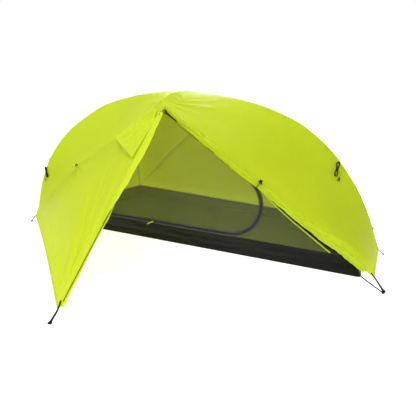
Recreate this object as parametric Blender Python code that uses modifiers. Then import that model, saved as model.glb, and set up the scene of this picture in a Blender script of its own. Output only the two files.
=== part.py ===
# A pitched one person trekking tent: a mesh inner tent with a bathtub floor, hung from a Y shaped
# pole frame with a short cross pole, under a separate fly. The left half of the vestibule is closed
# and the right half is rolled back.
# Metres, +Z up. The origin is the middle of the floor's underside. +X points to the foot end,
# -X to the head end and -Y to the door side.

import math

import bmesh
import bpy
import numpy as np
from mathutils import Matrix, Vector

# Floor and inner tent
floor_length = 2.20
head_width = 1.00
foot_width = 0.70
tub_height = 0.12           # at the head end
tub_foot_height = 0.09
tub_lean = 0.02             # how far the tub's top edge leans in at the head end
tub_foot_lean = 0.036       # and at the foot end, under the fly's lower corners
tub_fabric = 0.0015
mesh_fabric = 0.0008
inner_drop = 0.035          # inner canopy under the pole's centre line
inner_tip_drop = 0.045      # inner canopy's peak corners under the cross pole's tips
inner_tip_in = 0.030
canopy_clear = 0.0012       # canopy's lower edge over the tub's top edge

# Pole frame
pole_radius = 0.00425
pole_bore = 0.0034
shock_cord_radius = 0.0012
peak_height = 0.965         # ridge pole's centre under the cross pole
hub_height = 0.945
peak_x = -0.10
hub_x = -0.75
grommet_reach = 0.016       # pole foot outside the floor's edge
corner_reach = 1.4          # as many times further out at a corner
pole_foot_height = 0.022
cross_half_span = 0.38
cross_tip_height = 0.888
cross_rise = 0.0092         # cross pole's centre over the ridge pole's centre
hub_arm = 0.030
socket_length = 0.030       # how far a section's socket covers the next section
socket_clear = 0.00035
pole_step = 0.065           # length of one straight facet of a pole
ridge_section_count = 5
leg_section_count = 2
tip_length = 0.018
tip_radius = 0.0030
tip_flange = 0.0062
tip_flange_thick = 0.0030
grommet_clear = 0.0006
grommet_half = 0.006        # half length of the tools that cut the grommets' holes
tab_clear = 0.0014          # tip's flange over the tab
cap_length = 0.0085
cap_wall = 0.0010
cord_end = 0.012            # shock cord's knots inside the pole ends
cord_bore = 0.0020
hub_boss_radius = 0.016
hub_boss_half = 0.0075
hub_socket_radius = 0.0066
hub_overlap = 0.022         # how far the hub's sockets cover the poles
cross_clip_size = (0.018, 0.018, 0.024)
clip_clear = 0.0008
clip_bevel = 0.0015
groove_half = 0.020         # half length of the tools that cut the clip's grooves
hook_radius = 0.0014
hook_sweep = 235
hook_stand = 0.0035
ridge_clip_shares = (0.125, 0.222, 0.455)
leg_clip_share = 0.62

# Fly
fly_fabric = 0.0009
ridge_gap = 0.023           # fly over the ridge pole's centre
cross_gap = 0.013           # fly over the cross pole's centre
foot_flare = 0.055          # more gap at the foot end's hem
corner_flare_x = 0.100      # fly corner outside the head end's floor corner
corner_flare_y = 0.130
foot_corner_out_x = 0.050
foot_corner_out_y = 0.050
foot_hem_height = 0.030
head_corner_height = 0.070
foot_corner_height = 0.040
rear_bow = 0.080            # rear hem pulled out by its middle stake
side_bow_x = 0.008
side_bow_y = 0.004
head_bow = 0.02             # head end's hem bowed out
rear_across = 8
side_across = 9
head_across = 6
slope_step = 0.02           # share of a panel that its slope is measured over
hem_arch = 0.015
apex_x = 0.0
apex_out = 0.861            # vestibule's apex in front of the floor's edge
apex_height = 0.050
seam_bulge = 0.065          # fly pushed out by the front leg pole
zip_top_along = 0.036       # vestibule zip's top end from the front tip of the cross pole
zip_top_out = 0.016
zip_top_drop = 0.034

# Vent hood, as shares of the vestibule's left half
hood_top = 0.06
hood_end = 0.345
hood_side = 0.04
hood_width = 0.84
hood_lift = 0.004
hood_rise = 0.032
strut_down = 0.30
strut_across = 0.45
strut_length = 0.026
strut_width = 0.012
strut_thick = 0.0016

# Vestibule zip
fly_zip_radius = 0.0022
fly_zip_from = 0.030
fly_zip_to_end = 0.040
fly_slider_from = 0.020
fly_slider_size = (0.014, 0.009, 0.005)
fly_pull_length = 0.034
pull_width = 0.006
pull_thick = 0.0014
pull_hinge_in = 0.003       # a pull tab's pivot from its end
pull_hole = 0.0012
fly_pull_hole_in = 0.008    # middle of a pull tab's hole from its far end
inner_pull_hole_in = 0.010

# Rolled right half of the vestibule
roll_top_radius = 0.011
roll_low_radius = 0.031
roll_end_radius = 0.012
roll_widest = 0.78          # share of the door line where the roll is widest
roll_clear = 0.004
roll_hangs = (0, -0.64, -0.77)
roll_from = 0.045
roll_to = 0.965
tie_share = 0.516
tie_radius = 0.0014
tie_clear = 0.0015          # between the tie and the roll
toggle_radius = 0.004
toggle_length = 0.026
toggle_lean = (0.55, 0.85)  # how far the toggle sits over the roll, and to its front

# Door of the inner tent
door_left_inset = 0.080
door_right_inset = 0.020
door_bottom_inset = 0.012
door_low_radius = 0.190
door_top_radius = 0.035
door_left_radius = 0.030
zip_radius = 0.0022
zip_slot = 0.0030           # wall's edge outside the middle of the zip
door_slot = 0.0052          # door's edge inside it, clear of the slider
hinge_slot = 0.0012
zip_top_points = 3
inner_slider_at = 0.885
inner_slider_size = (0.014, 0.009, 0.005)
inner_pull_length = 0.058
pull_droop = math.radians(28)

# Small parts and clearances
touch_gap = 0.0004
small_bevel = 0.0012
tab_reach = 0.014           # floor tab past its grommet
tab_width = 0.020
tab_start_height = 0.010
sewn_depth = 0.0016         # webbing's sewn end under the fabric's middle
stake_reach = 0.080
middle_reach = 0.035
stake_rise = 0.009
floor_strap_rise = 0.0035
floor_strap_start = 0.006
floor_strap_width = 0.008
apex_reach = 0.040
# ways from the corners to their stakes
foot_stake_way = (0.55, -0.85, 0)
head_stake_way = (-1, 0.05, 0)
apex_stake_way = (-0.25, -1, 0)
# shares of the panels where the straps are sewn on
corner_sewn = (0.985, 0.045)
middle_sewn = (0.985, 0.999)
head_sewn = (0.985, 0.020)
head_sewn_rear = (0.985, 0.980)
apex_sewn = (0.975, 0.985)
seam_trim = 0.0014          # each sewn panel stops this far from its seam line
least_width = 0.022         # a panel's pointed corner is cut off at this width
strap_width = 0.012
peak_tab_width = 0.008
peak_tab_start = (0.012, 0.06)
strap_thick = 0.0012

# Guylines
guy_cord_radius = 0.0008
hank_turns = 2              # loops in one layer
hank_layers = 4
hank_half_length = 0.046
hank_waist = 0.0012         # half width of the innermost loop's waist
hank_step = 0.00236
hank_layer_step = 0.0022
hank_bulge = 0.016
hank_stand = 0.0022         # hank's lowest layer over the fly
# shares of the front right and front left panels where the hanks' ends lie, and the ties' places
hank_right_top = (0.650, 0.967)
hank_right_low = (0.683, 0.767)
tie_right_share = 0.600
hank_left_top = (0.783, 1.0)
hank_left_low = (0.783, 0.633)
tie_left_share = 0.615
tie_lift = 0.25             # slope of a tie away from the fly
tensioner_drop = 0.052      # tensioner's middle down the hank from its middle
tensioner_side = 0.030
# the tail's bends on its way to the tensioner: how far down the hank, and shares of the side
tail_bends = ((0.012, 0.42), (0.026, 0.84))
tie_length = 0.030
tie_width = 0.010
tie_hole = 0.0018
tensioner_length = 0.027
tensioner_width = 0.009
tensioner_thick = 0.003
tensioner_hole = 0.0014
points_in_loop = 24
lead_straight = 0.016       # lead's straight run out of the loops
lead_sag = 0.003
swing_gap = 0.0010          # between a tie and the cord that swings on it
lead_point = 2              # the lead leaves the loops at this point from the hank's top


def vec(x, y, z):
    return np.array([float(x), float(y), float(z)])


def unit(v):
    return v / np.linalg.norm(v)


def mirrored(points):
    # the same path on the other side of the tent
    return np.array(points) * np.array([1.0, -1.0, 1.0])


def lengths(path):
    steps = np.linalg.norm(np.diff(path, axis=0), axis=1)
    return np.concatenate([[0.0], np.cumsum(steps)])


def at(path, distance):
    run = lengths(path)
    return np.array([np.interp(distance, run, path[:, i]) for i in range(3)])


def even(path, count):
    total = lengths(path)[-1]
    return np.array([at(path, total * i / count) for i in range(count + 1)])


def smooth(points, count):
    # evenly spaced points on a smooth curve through the given ones
    points = np.array(points, float)
    knots = lengths(points)
    tangents = np.gradient(points, knots, axis=0, edge_order=2)
    fine = []
    for i in range(len(points) - 1):
        span = knots[i + 1] - knots[i]
        for t in np.linspace(0, 1, 20, endpoint=False):
            start = (2 * t**3 - 3 * t**2 + 1) * points[i] + (t**3 - 2 * t**2 + t) * span * tangents[i]
            end = (3 * t**2 - 2 * t**3) * points[i + 1] + (t**3 - t**2) * span * tangents[i + 1]
            fine.append(start + end)
    fine.append(points[-1])
    return even(np.array(fine), count)


def stretch(path, start, end):
    # the part of a path between two distances, with the path's own corners kept
    run = lengths(path)
    inner = [p for p, d in zip(path, run) if start + 1e-4 < d < end - 1e-4]
    return np.array([at(path, start)] + inner + [at(path, end)])


def line(a, b, count):
    return np.array([a + (b - a) * i / count for i in range(count + 1)])


# Scene set-up
for old in list(bpy.data.objects):
    bpy.data.objects.remove(old, do_unlink=True)


def new_collection(name):
    collection = bpy.data.collections.get(name) or bpy.data.collections.new(name)
    if collection.name not in bpy.context.scene.collection.children:
        bpy.context.scene.collection.children.link(collection)
    return collection


tent = new_collection("lightweight_tent")
cutters = new_collection("cutters")


def material(name, colour, roughness, metallic=0.0):
    made = bpy.data.materials.new(name)
    made.use_nodes = True
    shader = made.node_tree.nodes["Principled BSDF"]
    shader.inputs["Base Color"].default_value = (*colour, 1.0)
    shader.inputs["Roughness"].default_value = roughness
    shader.inputs["Metallic"].default_value = metallic
    made.diffuse_color = (*colour, 1.0)
    return made


lime = (0.62, 0.80, 0.03)
black = (0.012, 0.012, 0.012)
mesh_tone = (0.10, 0.11, 0.03)
alloy = (0.45, 0.46, 0.47)


def keep(thing, colour, roughness, metallic=0.0, collection=None):
    # puts an object in its collection with a material of its own
    for user in list(thing.users_collection):
        user.objects.unlink(thing)
    (collection or tent).objects.link(thing)
    thing.data.materials.clear()
    thing.data.materials.append(material(thing.name, colour, roughness, metallic))
    return thing


def new_mesh(name, build):
    data = bpy.data.meshes.new(name)
    work = bmesh.new()
    build(work)
    work.to_mesh(data)
    work.free()
    made = bpy.data.objects.new(name, data)
    bpy.context.scene.collection.objects.link(made)
    return made


def grid_object(name, rows):
    # an open surface through rows of points
    def build(work):
        corners = [[work.verts.new(p) for p in row] for row in rows]
        for i in range(len(rows) - 1):
            for j in range(len(rows[0]) - 1):
                work.faces.new((corners[i][j], corners[i + 1][j], corners[i + 1][j + 1], corners[i][j + 1]))
    return new_mesh(name, build)


def thicken(thing, thickness, offset=0.0):
    wall = thing.modifiers.new("wall", "SOLIDIFY")
    wall.thickness = thickness
    wall.offset = offset
    return thing


def loft(low, high, across, start_edge=None, end_edge=None, start_fade=4.0, end_fade=2.0):
    # straight rulings between two paths, pulled to a shaped edge at either end
    last = len(low) - 1
    rows = []
    for i in range(last + 1):
        row = line(low[i], high[i], across)
        share = i / last
        if start_edge is not None:
            row = row + (1 - share) ** start_fade * (start_edge - line(start_edge[0], start_edge[-1], across))
        if end_edge is not None:
            row = row + share ** end_fade * (end_edge - line(end_edge[0], end_edge[-1], across))
        rows.append(row)
    return np.array(rows)


def shortened(path, trim):
    # moves the two ends of a row in by the trim and leaves its other points
    total = lengths(path)[-1]
    moved = path.copy()
    moved[0] = at(path, trim)
    moved[-1] = at(path, total - trim)
    return moved


def cut_to_seams(rows):
    # pulls a panel's edges back from its seam lines, and cuts off a pointed corner
    kept = [rows[0]]
    for before, row in zip(rows[:-1], rows[1:]):
        wide_before = lengths(before)[-1]
        wide = lengths(row)[-1]
        if wide >= least_width:
            kept.append(row)
        elif wide_before > least_width:
            kept.append(before + (row - before) * (wide_before - least_width) / (wide_before - wide))
    if lengths(kept[0])[-1] < least_width:
        first = lengths(kept[1])[-1]
        kept[0] = kept[1] + (kept[0] - kept[1]) * (first - least_width) / (first - lengths(kept[0])[-1])
    kept = np.array([shortened(row, seam_trim) for row in kept])
    for end, near in ((0, 1), (-1, -2)):
        kept[end] = kept[end] + seam_trim * np.array([unit(v) for v in kept[near] - kept[end]])
    return kept


def sewn_panel(name, rows, thickness, colour, roughness):
    return keep(thicken(grid_object(name, cut_to_seams(rows)), thickness), colour, roughness)


def tube_curve(name, paths, radius, sides=2, caps=True, radii=None, closed=False):
    # one tube for each path, as one curve object
    data = bpy.data.curves.new(name, "CURVE")
    data.dimensions = "3D"
    data.bevel_depth = radius
    data.bevel_resolution = sides
    data.use_fill_caps = caps
    for path in paths:
        spline = data.splines.new("POLY")
        spline.points.add(len(path) - 1)
        spline.use_cyclic_u = closed
        for i, point in enumerate(path):
            spline.points[i].co = (*point, 1.0)
            spline.points[i].radius = radii[i] if radii is not None else 1.0
    made = bpy.data.objects.new(name, data)
    bpy.context.scene.collection.objects.link(made)
    return made


def as_mesh(thing):
    # a mesh copy of an evaluated object, welded, in place of the object
    bpy.context.view_layer.update()
    shape = bpy.data.meshes.new_from_object(thing.evaluated_get(bpy.context.evaluated_depsgraph_get()))
    work = bmesh.new()
    work.from_mesh(shape)
    bmesh.ops.remove_doubles(work, verts=work.verts, dist=0.00001)
    work.to_mesh(shape)
    work.free()
    name = thing.name
    made = bpy.data.objects.new(name + "_shape", shape)
    made.matrix_world = thing.matrix_world
    bpy.context.scene.collection.objects.link(made)
    bpy.data.objects.remove(thing, do_unlink=True)
    made.name = name
    return made


def rod(name, paths, radius, colour, roughness, metallic=0.0, sides=2, radii=None):
    return keep(tube_curve(name, paths, radius, sides, radii=radii), colour, roughness, metallic)


def pipe(name, path, outer, inner, colour, roughness, metallic=0.0, radii=None):
    # a hollow tube that is open at both ends
    made = as_mesh(tube_curve(name, [path], outer, caps=False, radii=radii))
    return keep(thicken(made, outer - inner, -1.0), colour, roughness, metallic)


def frame_at(origin, x_axis, y_axis):
    # a placement whose X and Y follow two directions
    x_axis = unit(x_axis)
    z_axis = unit(np.cross(x_axis, y_axis))
    y_axis = np.cross(z_axis, x_axis)
    turned = Matrix.Identity(4)
    for i, axis in enumerate((x_axis, y_axis, z_axis)):
        for j in range(3):
            turned[j][i] = axis[j]
    turned.translation = Vector(origin)
    return turned


def flat_plate(name, outlines, thickness, placement, colour, roughness):
    # a flat shape with holes, drawn in the placement's own plane
    data = bpy.data.curves.new(name, "CURVE")
    data.dimensions = "2D"
    data.fill_mode = "BOTH"
    data.extrude = thickness / 2
    for outline in outlines:
        spline = data.splines.new("POLY")
        spline.points.add(len(outline) - 1)
        spline.use_cyclic_u = True
        for i, (x, y) in enumerate(outline):
            spline.points[i].co = (x, y, 0.0, 1.0)
    made = bpy.data.objects.new(name, data)
    bpy.context.scene.collection.objects.link(made)
    made.matrix_world = placement
    return keep(made, colour, roughness)


def block(name, size, placement, colour, roughness, metallic=0.0, bevel=0.0, collection=None):
    def build(work):
        bmesh.ops.create_cube(work, size=1.0, matrix=Matrix.Diagonal((*size, 1.0)))
    made = new_mesh(name, build)
    made.matrix_world = placement
    if bevel:
        edge = made.modifiers.new("edge", "BEVEL")
        edge.width = bevel
        edge.segments = 2
    return keep(made, colour, roughness, metallic, collection)


def cylinder(name, start, end, radius, collection=None, sides=16):
    # a solid cylinder between two points
    start = Vector(start)
    end = Vector(end)
    turned = (end - start).to_track_quat("Z", "Y").to_matrix().to_4x4()
    turned.translation = (start + end) / 2

    def build(work):
        bmesh.ops.create_cone(work, cap_ends=True, segments=sides, radius1=radius, radius2=radius,
                              depth=(end - start).length)
    made = new_mesh(name, build)
    made.matrix_world = turned
    keep(made, black, 0.5, 0.0, collection)
    if collection is cutters:
        made.hide_render = True
        made.display_type = "WIRE"
    return made


def combine(thing, other, operation):
    step = thing.modifiers.new(operation.lower(), "BOOLEAN")
    step.object = other
    step.operation = operation
    step.solver = "EXACT"


def webbing(name, path, sides, width):
    # flat webbing as a helper, to be sewn to fabric; its side turns from the first to the last
    def build(work):
        rows = []
        for i, point in enumerate(path):
            share = i / (len(path) - 1)
            edge = unit(sides[0] * (1 - share) + sides[1] * share) * width / 2
            rows.append([work.verts.new(point - edge), work.verts.new(point + edge)])
        for near, far in zip(rows[:-1], rows[1:]):
            work.faces.new((near[0], far[0], far[1], near[1]))
    made = keep(thicken(new_mesh(name, build), strap_thick), black, 0.8, 0.0, cutters)
    made.hide_render = True
    made.display_type = "WIRE"
    return made


def on_axis(name, point, axis, things):
    # an empty on a joint's axis that carries the pieces of a moving body
    carrier = bpy.data.objects.new(name, None)
    turned = Vector(axis).to_track_quat("Z", "Y").to_matrix().to_4x4()
    carrier.matrix_world = Matrix.Translation(Vector(point)) @ turned
    tent.objects.link(carrier)
    bpy.context.view_layer.update()
    for thing in things:
        thing.parent = carrier
        thing.matrix_parent_inverse = carrier.matrix_world.inverted()
    return carrier


def ring(name, centre, normal, major, minor, start=0.0, sweep=360.0, facing=None, count=14):
    # points round a circle; facing is the direction of angle 0
    normal = unit(normal)
    across = facing if facing is not None else vec(1, 0, 0)
    across = unit(across - normal * (across @ normal))
    up = np.cross(normal, across)
    last = count if sweep < 360 else count - 1
    points = []
    for i in range(last + 1):
        turn = math.radians(start + sweep * i / count)
        points.append(centre + major * (math.cos(turn) * across + math.sin(turn) * up))
    return tube_curve(name, [points], minor, sides=1, caps=sweep < 360, closed=sweep >= 360)


# Reference points and curves of the pole frame
half_length = floor_length / 2
floor_head = vec(-half_length, -head_width / 2, 0)
floor_foot = vec(half_length, -foot_width / 2, 0)
foot_middle = vec(half_length + grommet_reach, 0, pole_foot_height)
out_head = unit(vec(-1, -1, 0))
leg_foot = floor_head + out_head * grommet_reach * corner_reach + vec(0, 0, pole_foot_height)
hub = vec(hub_x, 0, hub_height)

# shares of the run from the peak to the foot end, and of the peak's height
ridge_bend = ((0.988, 0.13), (0.950, 0.265), (0.876, 0.441), (0.769, 0.608), (0.628, 0.766),
              (0.452, 0.873), (0.245, 0.946), (0.0, 1.0))
ridge_run = foot_middle[0] - peak_x
ridge_points = [foot_middle]
ridge_points += [vec(peak_x + ridge_run * x, 0, peak_height * z) for x, z in ridge_bend]
ridge_points += [vec(peak_x + (hub_x - peak_x) * 0.5, 0, peak_height * 1.012), hub]
ridge_count = 6 * round(2.4 / pole_step / 6)
ridge_path = smooth(ridge_points, ridge_count)

# shares of the plan distance from the hub to the corner, and of the hub's height
leg_bend = ((0.185, 0.962), (0.345, 0.902), (0.485, 0.836), (0.605, 0.781), (0.720, 0.697),
            (0.810, 0.614), (0.868, 0.545), (0.930, 0.430), (0.986, 0.265), (1.000, 0.130))
leg_points = [hub]
leg_points += [vec(hub_x + (leg_foot[0] - hub_x) * s, leg_foot[1] * s, hub_height * z) for s, z in leg_bend]
leg_points += [leg_foot]
leg_count = round(1.3 / pole_step)
leg_path = smooth(leg_points, leg_count)

cross_top = peak_height + cross_rise


def cross_point(share):
    # share runs from -1 at the front tip to 1 at the rear tip
    rise = cross_top - cross_tip_height
    return vec(peak_x, cross_half_span * share, cross_top - rise * share * share)


cross_path = np.array([cross_point(i / 5) for i in range(-5, 6)])

# The fly's own lines, set out from the poles
panel_across = 5
fly_foot_corner = floor_foot + vec(foot_corner_out_x, -foot_corner_out_y, foot_corner_height)
fly_head_corner = floor_head + vec(-corner_flare_x, -corner_flare_y, head_corner_height)
fly_foot_middle = vec(foot_middle[0] + ridge_gap + foot_flare, 0, foot_hem_height)
apex = vec(apex_x, -(head_width + foot_width) / 4 - apex_out, apex_height)
fly_tip = vec(peak_x, -cross_half_span - cross_gap, cross_tip_height + cross_gap)
fly_peak = vec(peak_x, 0, cross_top + cross_gap)
fly_hub = hub + vec(-0.004, 0, ridge_gap)


def pushed_out(path, centre, gap, flare, power):
    # moves a pole's line outwards, more towards the ground
    top = max(p[2] for p in path)
    tangents = np.gradient(path, axis=0)
    moved = []
    for point, tangent in zip(path, tangents):
        out = point - centre
        out = unit(out - unit(tangent) * (out @ unit(tangent)))
        moved.append(point + out * (gap + flare * max(0.0, 1 - point[2] / top) ** power))
    return np.array(moved)


ridge_outer = pushed_out(ridge_path, vec(peak_x, 0, 0.2), ridge_gap, foot_flare, 4)
ridge_peak_index = int(np.argmin(np.abs(ridge_outer[:, 0] - peak_x)))
foot_line_points = list(ridge_outer[2:ridge_peak_index - 2:3])
fly_ridge_foot = smooth([fly_peak] + foot_line_points[::-1] + [fly_foot_middle], 16)
middle_of_ridge = ridge_outer[(ridge_peak_index + ridge_count) // 2]
fly_ridge_head = smooth([fly_peak, middle_of_ridge, fly_hub], 6)

leg_flare = math.hypot(corner_flare_x, corner_flare_y) - grommet_reach * corner_reach - ridge_gap
leg_outer = pushed_out(leg_path, vec(hub_x + 0.1, 0, 0.15), ridge_gap, leg_flare, 1.9)
fly_leg_front = smooth([fly_hub] + list(leg_outer[3:-2:3]) + [fly_head_corner], 13)
head_line = np.concatenate([fly_ridge_head, fly_leg_front[1:]])

seam_out = unit(vec(-0.3, -0.75, 0.55))
seam_straight = line(fly_tip, fly_head_corner, len(head_line) - 1)
seam_share = np.linspace(0, 1, len(seam_straight))
seam_push = seam_bulge * np.sin(math.pi * seam_share ** 1.4) ** 1.5
seam_line = seam_straight + seam_push[:, None] * seam_out
door_line = line(fly_tip, fly_foot_corner, len(fly_ridge_foot) - 1)
cross_line = np.array([cross_point(-1 + i / panel_across)
                       + vec(0, -cross_gap * (1 - i / panel_across), cross_gap)
                       for i in range(panel_across + 1)])
zip_top = fly_tip + vec(zip_top_along, -zip_top_out, -zip_top_drop)
zip_line = line(zip_top, apex, len(seam_line) - 1)


def hem(a, b, count, bow, arch):
    # a hem between two corners, bowed sideways and arched off the ground
    points = line(a, b, count)
    swell = [math.sin(math.pi * i / count) for i in range(len(points))]
    return np.array([p + (bow + vec(0, 0, arch)) * swell[i] for i, p in enumerate(points)])


# Fly panels
side_edge = hem(fly_head_corner, apex, side_across, vec(side_bow_x, side_bow_y, 0), hem_arch)
vestibule_rows = loft(seam_line, zip_line, side_across, end_edge=side_edge)
sewn_panel("vestibule_left", vestibule_rows, fly_fabric, lime, 0.55)
front_right_rows = loft(door_line, fly_ridge_foot, panel_across, start_edge=cross_line)
sewn_panel("fly_front_right", front_right_rows, fly_fabric, lime, 0.55)
front_left_rows = loft(seam_line, head_line, panel_across, start_edge=cross_line)
sewn_panel("fly_front_left", front_left_rows[:, ::-1], fly_fabric, lime, 0.55)
sewn_panel("fly_rear_right", mirrored(front_right_rows)[:, ::-1], fly_fabric, lime, 0.55)
sewn_panel("fly_rear_left", mirrored(front_left_rows), fly_fabric, lime, 0.55)

rear_seam = mirrored(seam_line)
rear_door_line = even(mirrored(door_line), len(rear_seam) - 1)
rear_hem = hem(rear_door_line[-1], rear_seam[-1], rear_across, vec(0, rear_bow, 0), hem_arch)
rear_rows = loft(rear_door_line, rear_seam, rear_across, end_edge=rear_hem)
sewn_panel("fly_rear_wall", rear_rows, fly_fabric, lime, 0.55)

head_hem = hem(fly_head_corner, mirrored(fly_head_corner), head_across, vec(-head_bow, 0, 0), hem_arch)
head_rows = loft(fly_leg_front, mirrored(fly_leg_front), head_across, end_edge=head_hem)
sewn_panel("fly_head_end", head_rows, fly_fabric, lime, 0.55)


def surface_point(rows, down, across):
    # a point on a panel; both shares run from 0 to 1
    i = min(int(down * (len(rows) - 1)), len(rows) - 2)
    j = min(int(across * (len(rows[0]) - 1)), len(rows[0]) - 2)
    a = down * (len(rows) - 1) - i
    b = across * (len(rows[0]) - 1) - j
    near = rows[i][j] * (1 - b) + rows[i][j + 1] * b
    far = rows[i + 1][j] * (1 - b) + rows[i + 1][j + 1] * b
    return near * (1 - a) + far * a


def surface_normal(rows, down, across):
    # the direction out of the tent at a point of a panel
    step = slope_step
    centre = surface_point(rows, down, across)
    along = surface_point(rows, min(down + step, 1), across)
    along = along - surface_point(rows, max(down - step, 0), across)
    sideways = surface_point(rows, down, min(across + step, 1))
    sideways = sideways - surface_point(rows, down, max(across - step, 0))
    normal = unit(np.cross(along, sideways))
    return normal if normal @ (centre - vec(peak_x, 0, 0.3)) > 0 else -normal


# Vent hood over the top of the vestibule's seam, and the strut that props it open
hood_rows = []
for i in range(6):
    row = []
    for j in range(9):
        down = hood_top + (hood_end - hood_top) * i / 5
        across = hood_side + (hood_width - hood_side) * j / 8
        rise = hood_lift + hood_rise * (i / 5) ** 1.5 * math.sin(math.pi * j / 8) ** 0.8
        lifted = surface_normal(vestibule_rows, down, across) * rise
        row.append(surface_point(vestibule_rows, down, across) + lifted)
    hood_rows.append(row)
sewn_panel("vent_hood", np.array(hood_rows), fly_fabric, lime, 0.45)

strut_foot = surface_point(vestibule_rows, strut_down, strut_across)
strut_out = surface_normal(vestibule_rows, strut_down, strut_across)
strut_down_slope = unit(surface_point(vestibule_rows, strut_down + 0.05, strut_across) - strut_foot)
strut_base = strut_foot + strut_out * (fly_fabric / 2 + touch_gap)
strut_middle = strut_base + strut_out * strut_length / 2
strut_place = frame_at(strut_middle, np.cross(strut_out, strut_down_slope), strut_down_slope)
block("vent_strut", (strut_width, strut_thick, strut_length), strut_place, black, 0.5)

# Zip along the vestibule's free edge, with its slider at the top
zip_along = unit(apex - zip_top)
zip_face = surface_normal(vestibule_rows, 0.5, 0.97)
zip_out = unit(np.cross(zip_along, zip_face))
zip_out = zip_out if zip_out[0] > 0 else -zip_out
fly_zip_start = zip_top + zip_along * fly_zip_from + zip_out * (fly_zip_radius + touch_gap)
fly_zip_end = apex - zip_along * fly_zip_to_end + zip_out * (fly_zip_radius + touch_gap)
rod("vestibule_zip", [line(fly_zip_start, fly_zip_end, 1)], fly_zip_radius, black, 0.6)
fly_slider_middle = fly_zip_start + zip_along * fly_slider_from
fly_slider_middle = fly_slider_middle + zip_face * (fly_zip_radius + touch_gap + fly_slider_size[2] / 2)
slider_place = frame_at(fly_slider_middle, zip_along, zip_out)
block("vestibule_zip_slider", fly_slider_size, slider_place, black, 0.4, bevel=small_bevel)
pull_middle = fly_slider_middle + zip_face * (fly_slider_size[2] / 2 + touch_gap + pull_thick / 2)
pull_middle = pull_middle + zip_along * (fly_pull_length / 2 - pull_hinge_in)


def bar(length, width, count=6):
    # a flat bar's outline with round ends, along X
    points = []
    for side in (1, -1):
        for i in range(count + 1):
            turn = math.radians(-90 + 180 * i / count) if side > 0 else math.radians(90 + 180 * i / count)
            middle = side * (length - width) / 2
            points.append((middle + width / 2 * math.cos(turn), width / 2 * math.sin(turn)))
    return points


def hole(x, y, radius, count=10):
    return [(x + radius * math.cos(2 * math.pi * i / count), y + radius * math.sin(2 * math.pi * i / count))
            for i in range(count)]


fly_pull_hole_place = fly_pull_length / 2 - fly_pull_hole_in
fly_pull_outline = [bar(fly_pull_length, pull_width), hole(fly_pull_hole_place, 0, pull_hole)]
flat_plate("vestibule_zip_pull", fly_pull_outline, pull_thick,
           frame_at(pull_middle, zip_along, zip_out), black, 0.5)

# Rolled right half of the vestibule, its tie and its toggle
door_along = unit(fly_foot_corner - fly_tip)
roll_side = vec(*roll_hangs)
roll_side = unit(roll_side - door_along * (roll_side @ door_along))


def roll_radius(share):
    swell = roll_top_radius + (roll_low_radius - roll_top_radius) * min(share / roll_widest, 1.0) ** 1.3
    tuck = max(0.0, (share - roll_widest) / (1 - roll_widest))
    return swell + (roll_end_radius - roll_low_radius) * tuck ** 1.6


def roll_centre(share):
    return fly_tip + (fly_foot_corner - fly_tip) * share + roll_side * (roll_radius(share) + roll_clear)


roll_shares = [roll_from + (roll_to - roll_from) * i / 13 for i in range(14)]
rod("fly_door_rolled", [[roll_centre(s) for s in roll_shares]], roll_low_radius, lime, 0.5, sides=3,
    radii=[roll_radius(s) / roll_low_radius for s in roll_shares])
tie_centre = roll_centre(tie_share)
tie_ring = roll_radius(tie_share) + tie_radius + tie_clear
keep(ring("roll_tie", tie_centre, door_along, tie_ring, tie_radius, 28, 304,
                  facing=-roll_side, count=14), black, 0.8)
roll_front = unit(np.cross(roll_side, door_along))
roll_front = roll_front if roll_front[1] < 0 else -roll_front
toggle_out = unit(roll_front * toggle_lean[1] - roll_side * toggle_lean[0])
toggle_middle = tie_centre + toggle_out * (tie_ring + tie_radius + touch_gap + toggle_radius)
toggle = cylinder("roll_toggle", toggle_middle - door_along * toggle_length / 2,
                  toggle_middle + door_along * toggle_length / 2, toggle_radius, sides=12)
toggle_edge = toggle.modifiers.new("edge", "BEVEL")
toggle_edge.width = small_bevel
toggle_edge.segments = 2


# Pole frame
def sections(name, path, ends, flip=False):
    # tube sections between distances; each but the last has a wider socket that takes the next
    made = []
    for i, (start, join) in enumerate(zip(ends[:-1], ends[1:])):
        start += touch_gap if i else 0
        if i < len(ends) - 2:
            plain = stretch(path, start, join - socket_step * 2)
            wide = stretch(path, join - socket_step, join + socket_length)
            points = np.concatenate([plain, wide])
            radii = [1.0] * len(plain) + [socket_radius / pole_radius] * len(wide)
        else:
            points = stretch(path, start, join)
            radii = [1.0] * len(points)
        points = mirrored(points) if flip else points
        made.append(pipe(f"{name}_{i + 1}", points, pole_radius, pole_bore, alloy, 0.3, 0.8, radii))
    return made


socket_radius = pole_radius * 2 - pole_bore + socket_clear
socket_step = 0.002
ridge_end = lengths(ridge_path)[-1] - hub_arm
leg_end = lengths(leg_path)[-1]
cross_end = lengths(cross_path)[-1]
sections("ridge_pole_section", ridge_path, np.linspace(0, ridge_end, ridge_section_count + 1))
leg_joins = np.linspace(hub_arm, leg_end, leg_section_count + 1)
sections("leg_pole_front_section", leg_path, leg_joins)
sections("leg_pole_rear_section", leg_path, leg_joins, flip=True)
cross_join = cross_end / 2 - cross_clip_size[1] - socket_length
cross_sections = sections("cross_pole_section", cross_path, (0, cross_join, cross_end))

# the cross pole's ends are closed by caps
cap_ends = [(cross_path[0], unit(cross_path[0] - cross_path[1])),
            (cross_path[-1], unit(cross_path[-1] - cross_path[-2]))]
for section, (end, way) in zip(cross_sections, cap_ends):
    cap = cylinder(f"{section.name}_cap", end - way * cap_length, end + way * cap_length,
                   pole_radius + cap_wall, cutters)
    combine(section, cap, "UNION")

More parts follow.
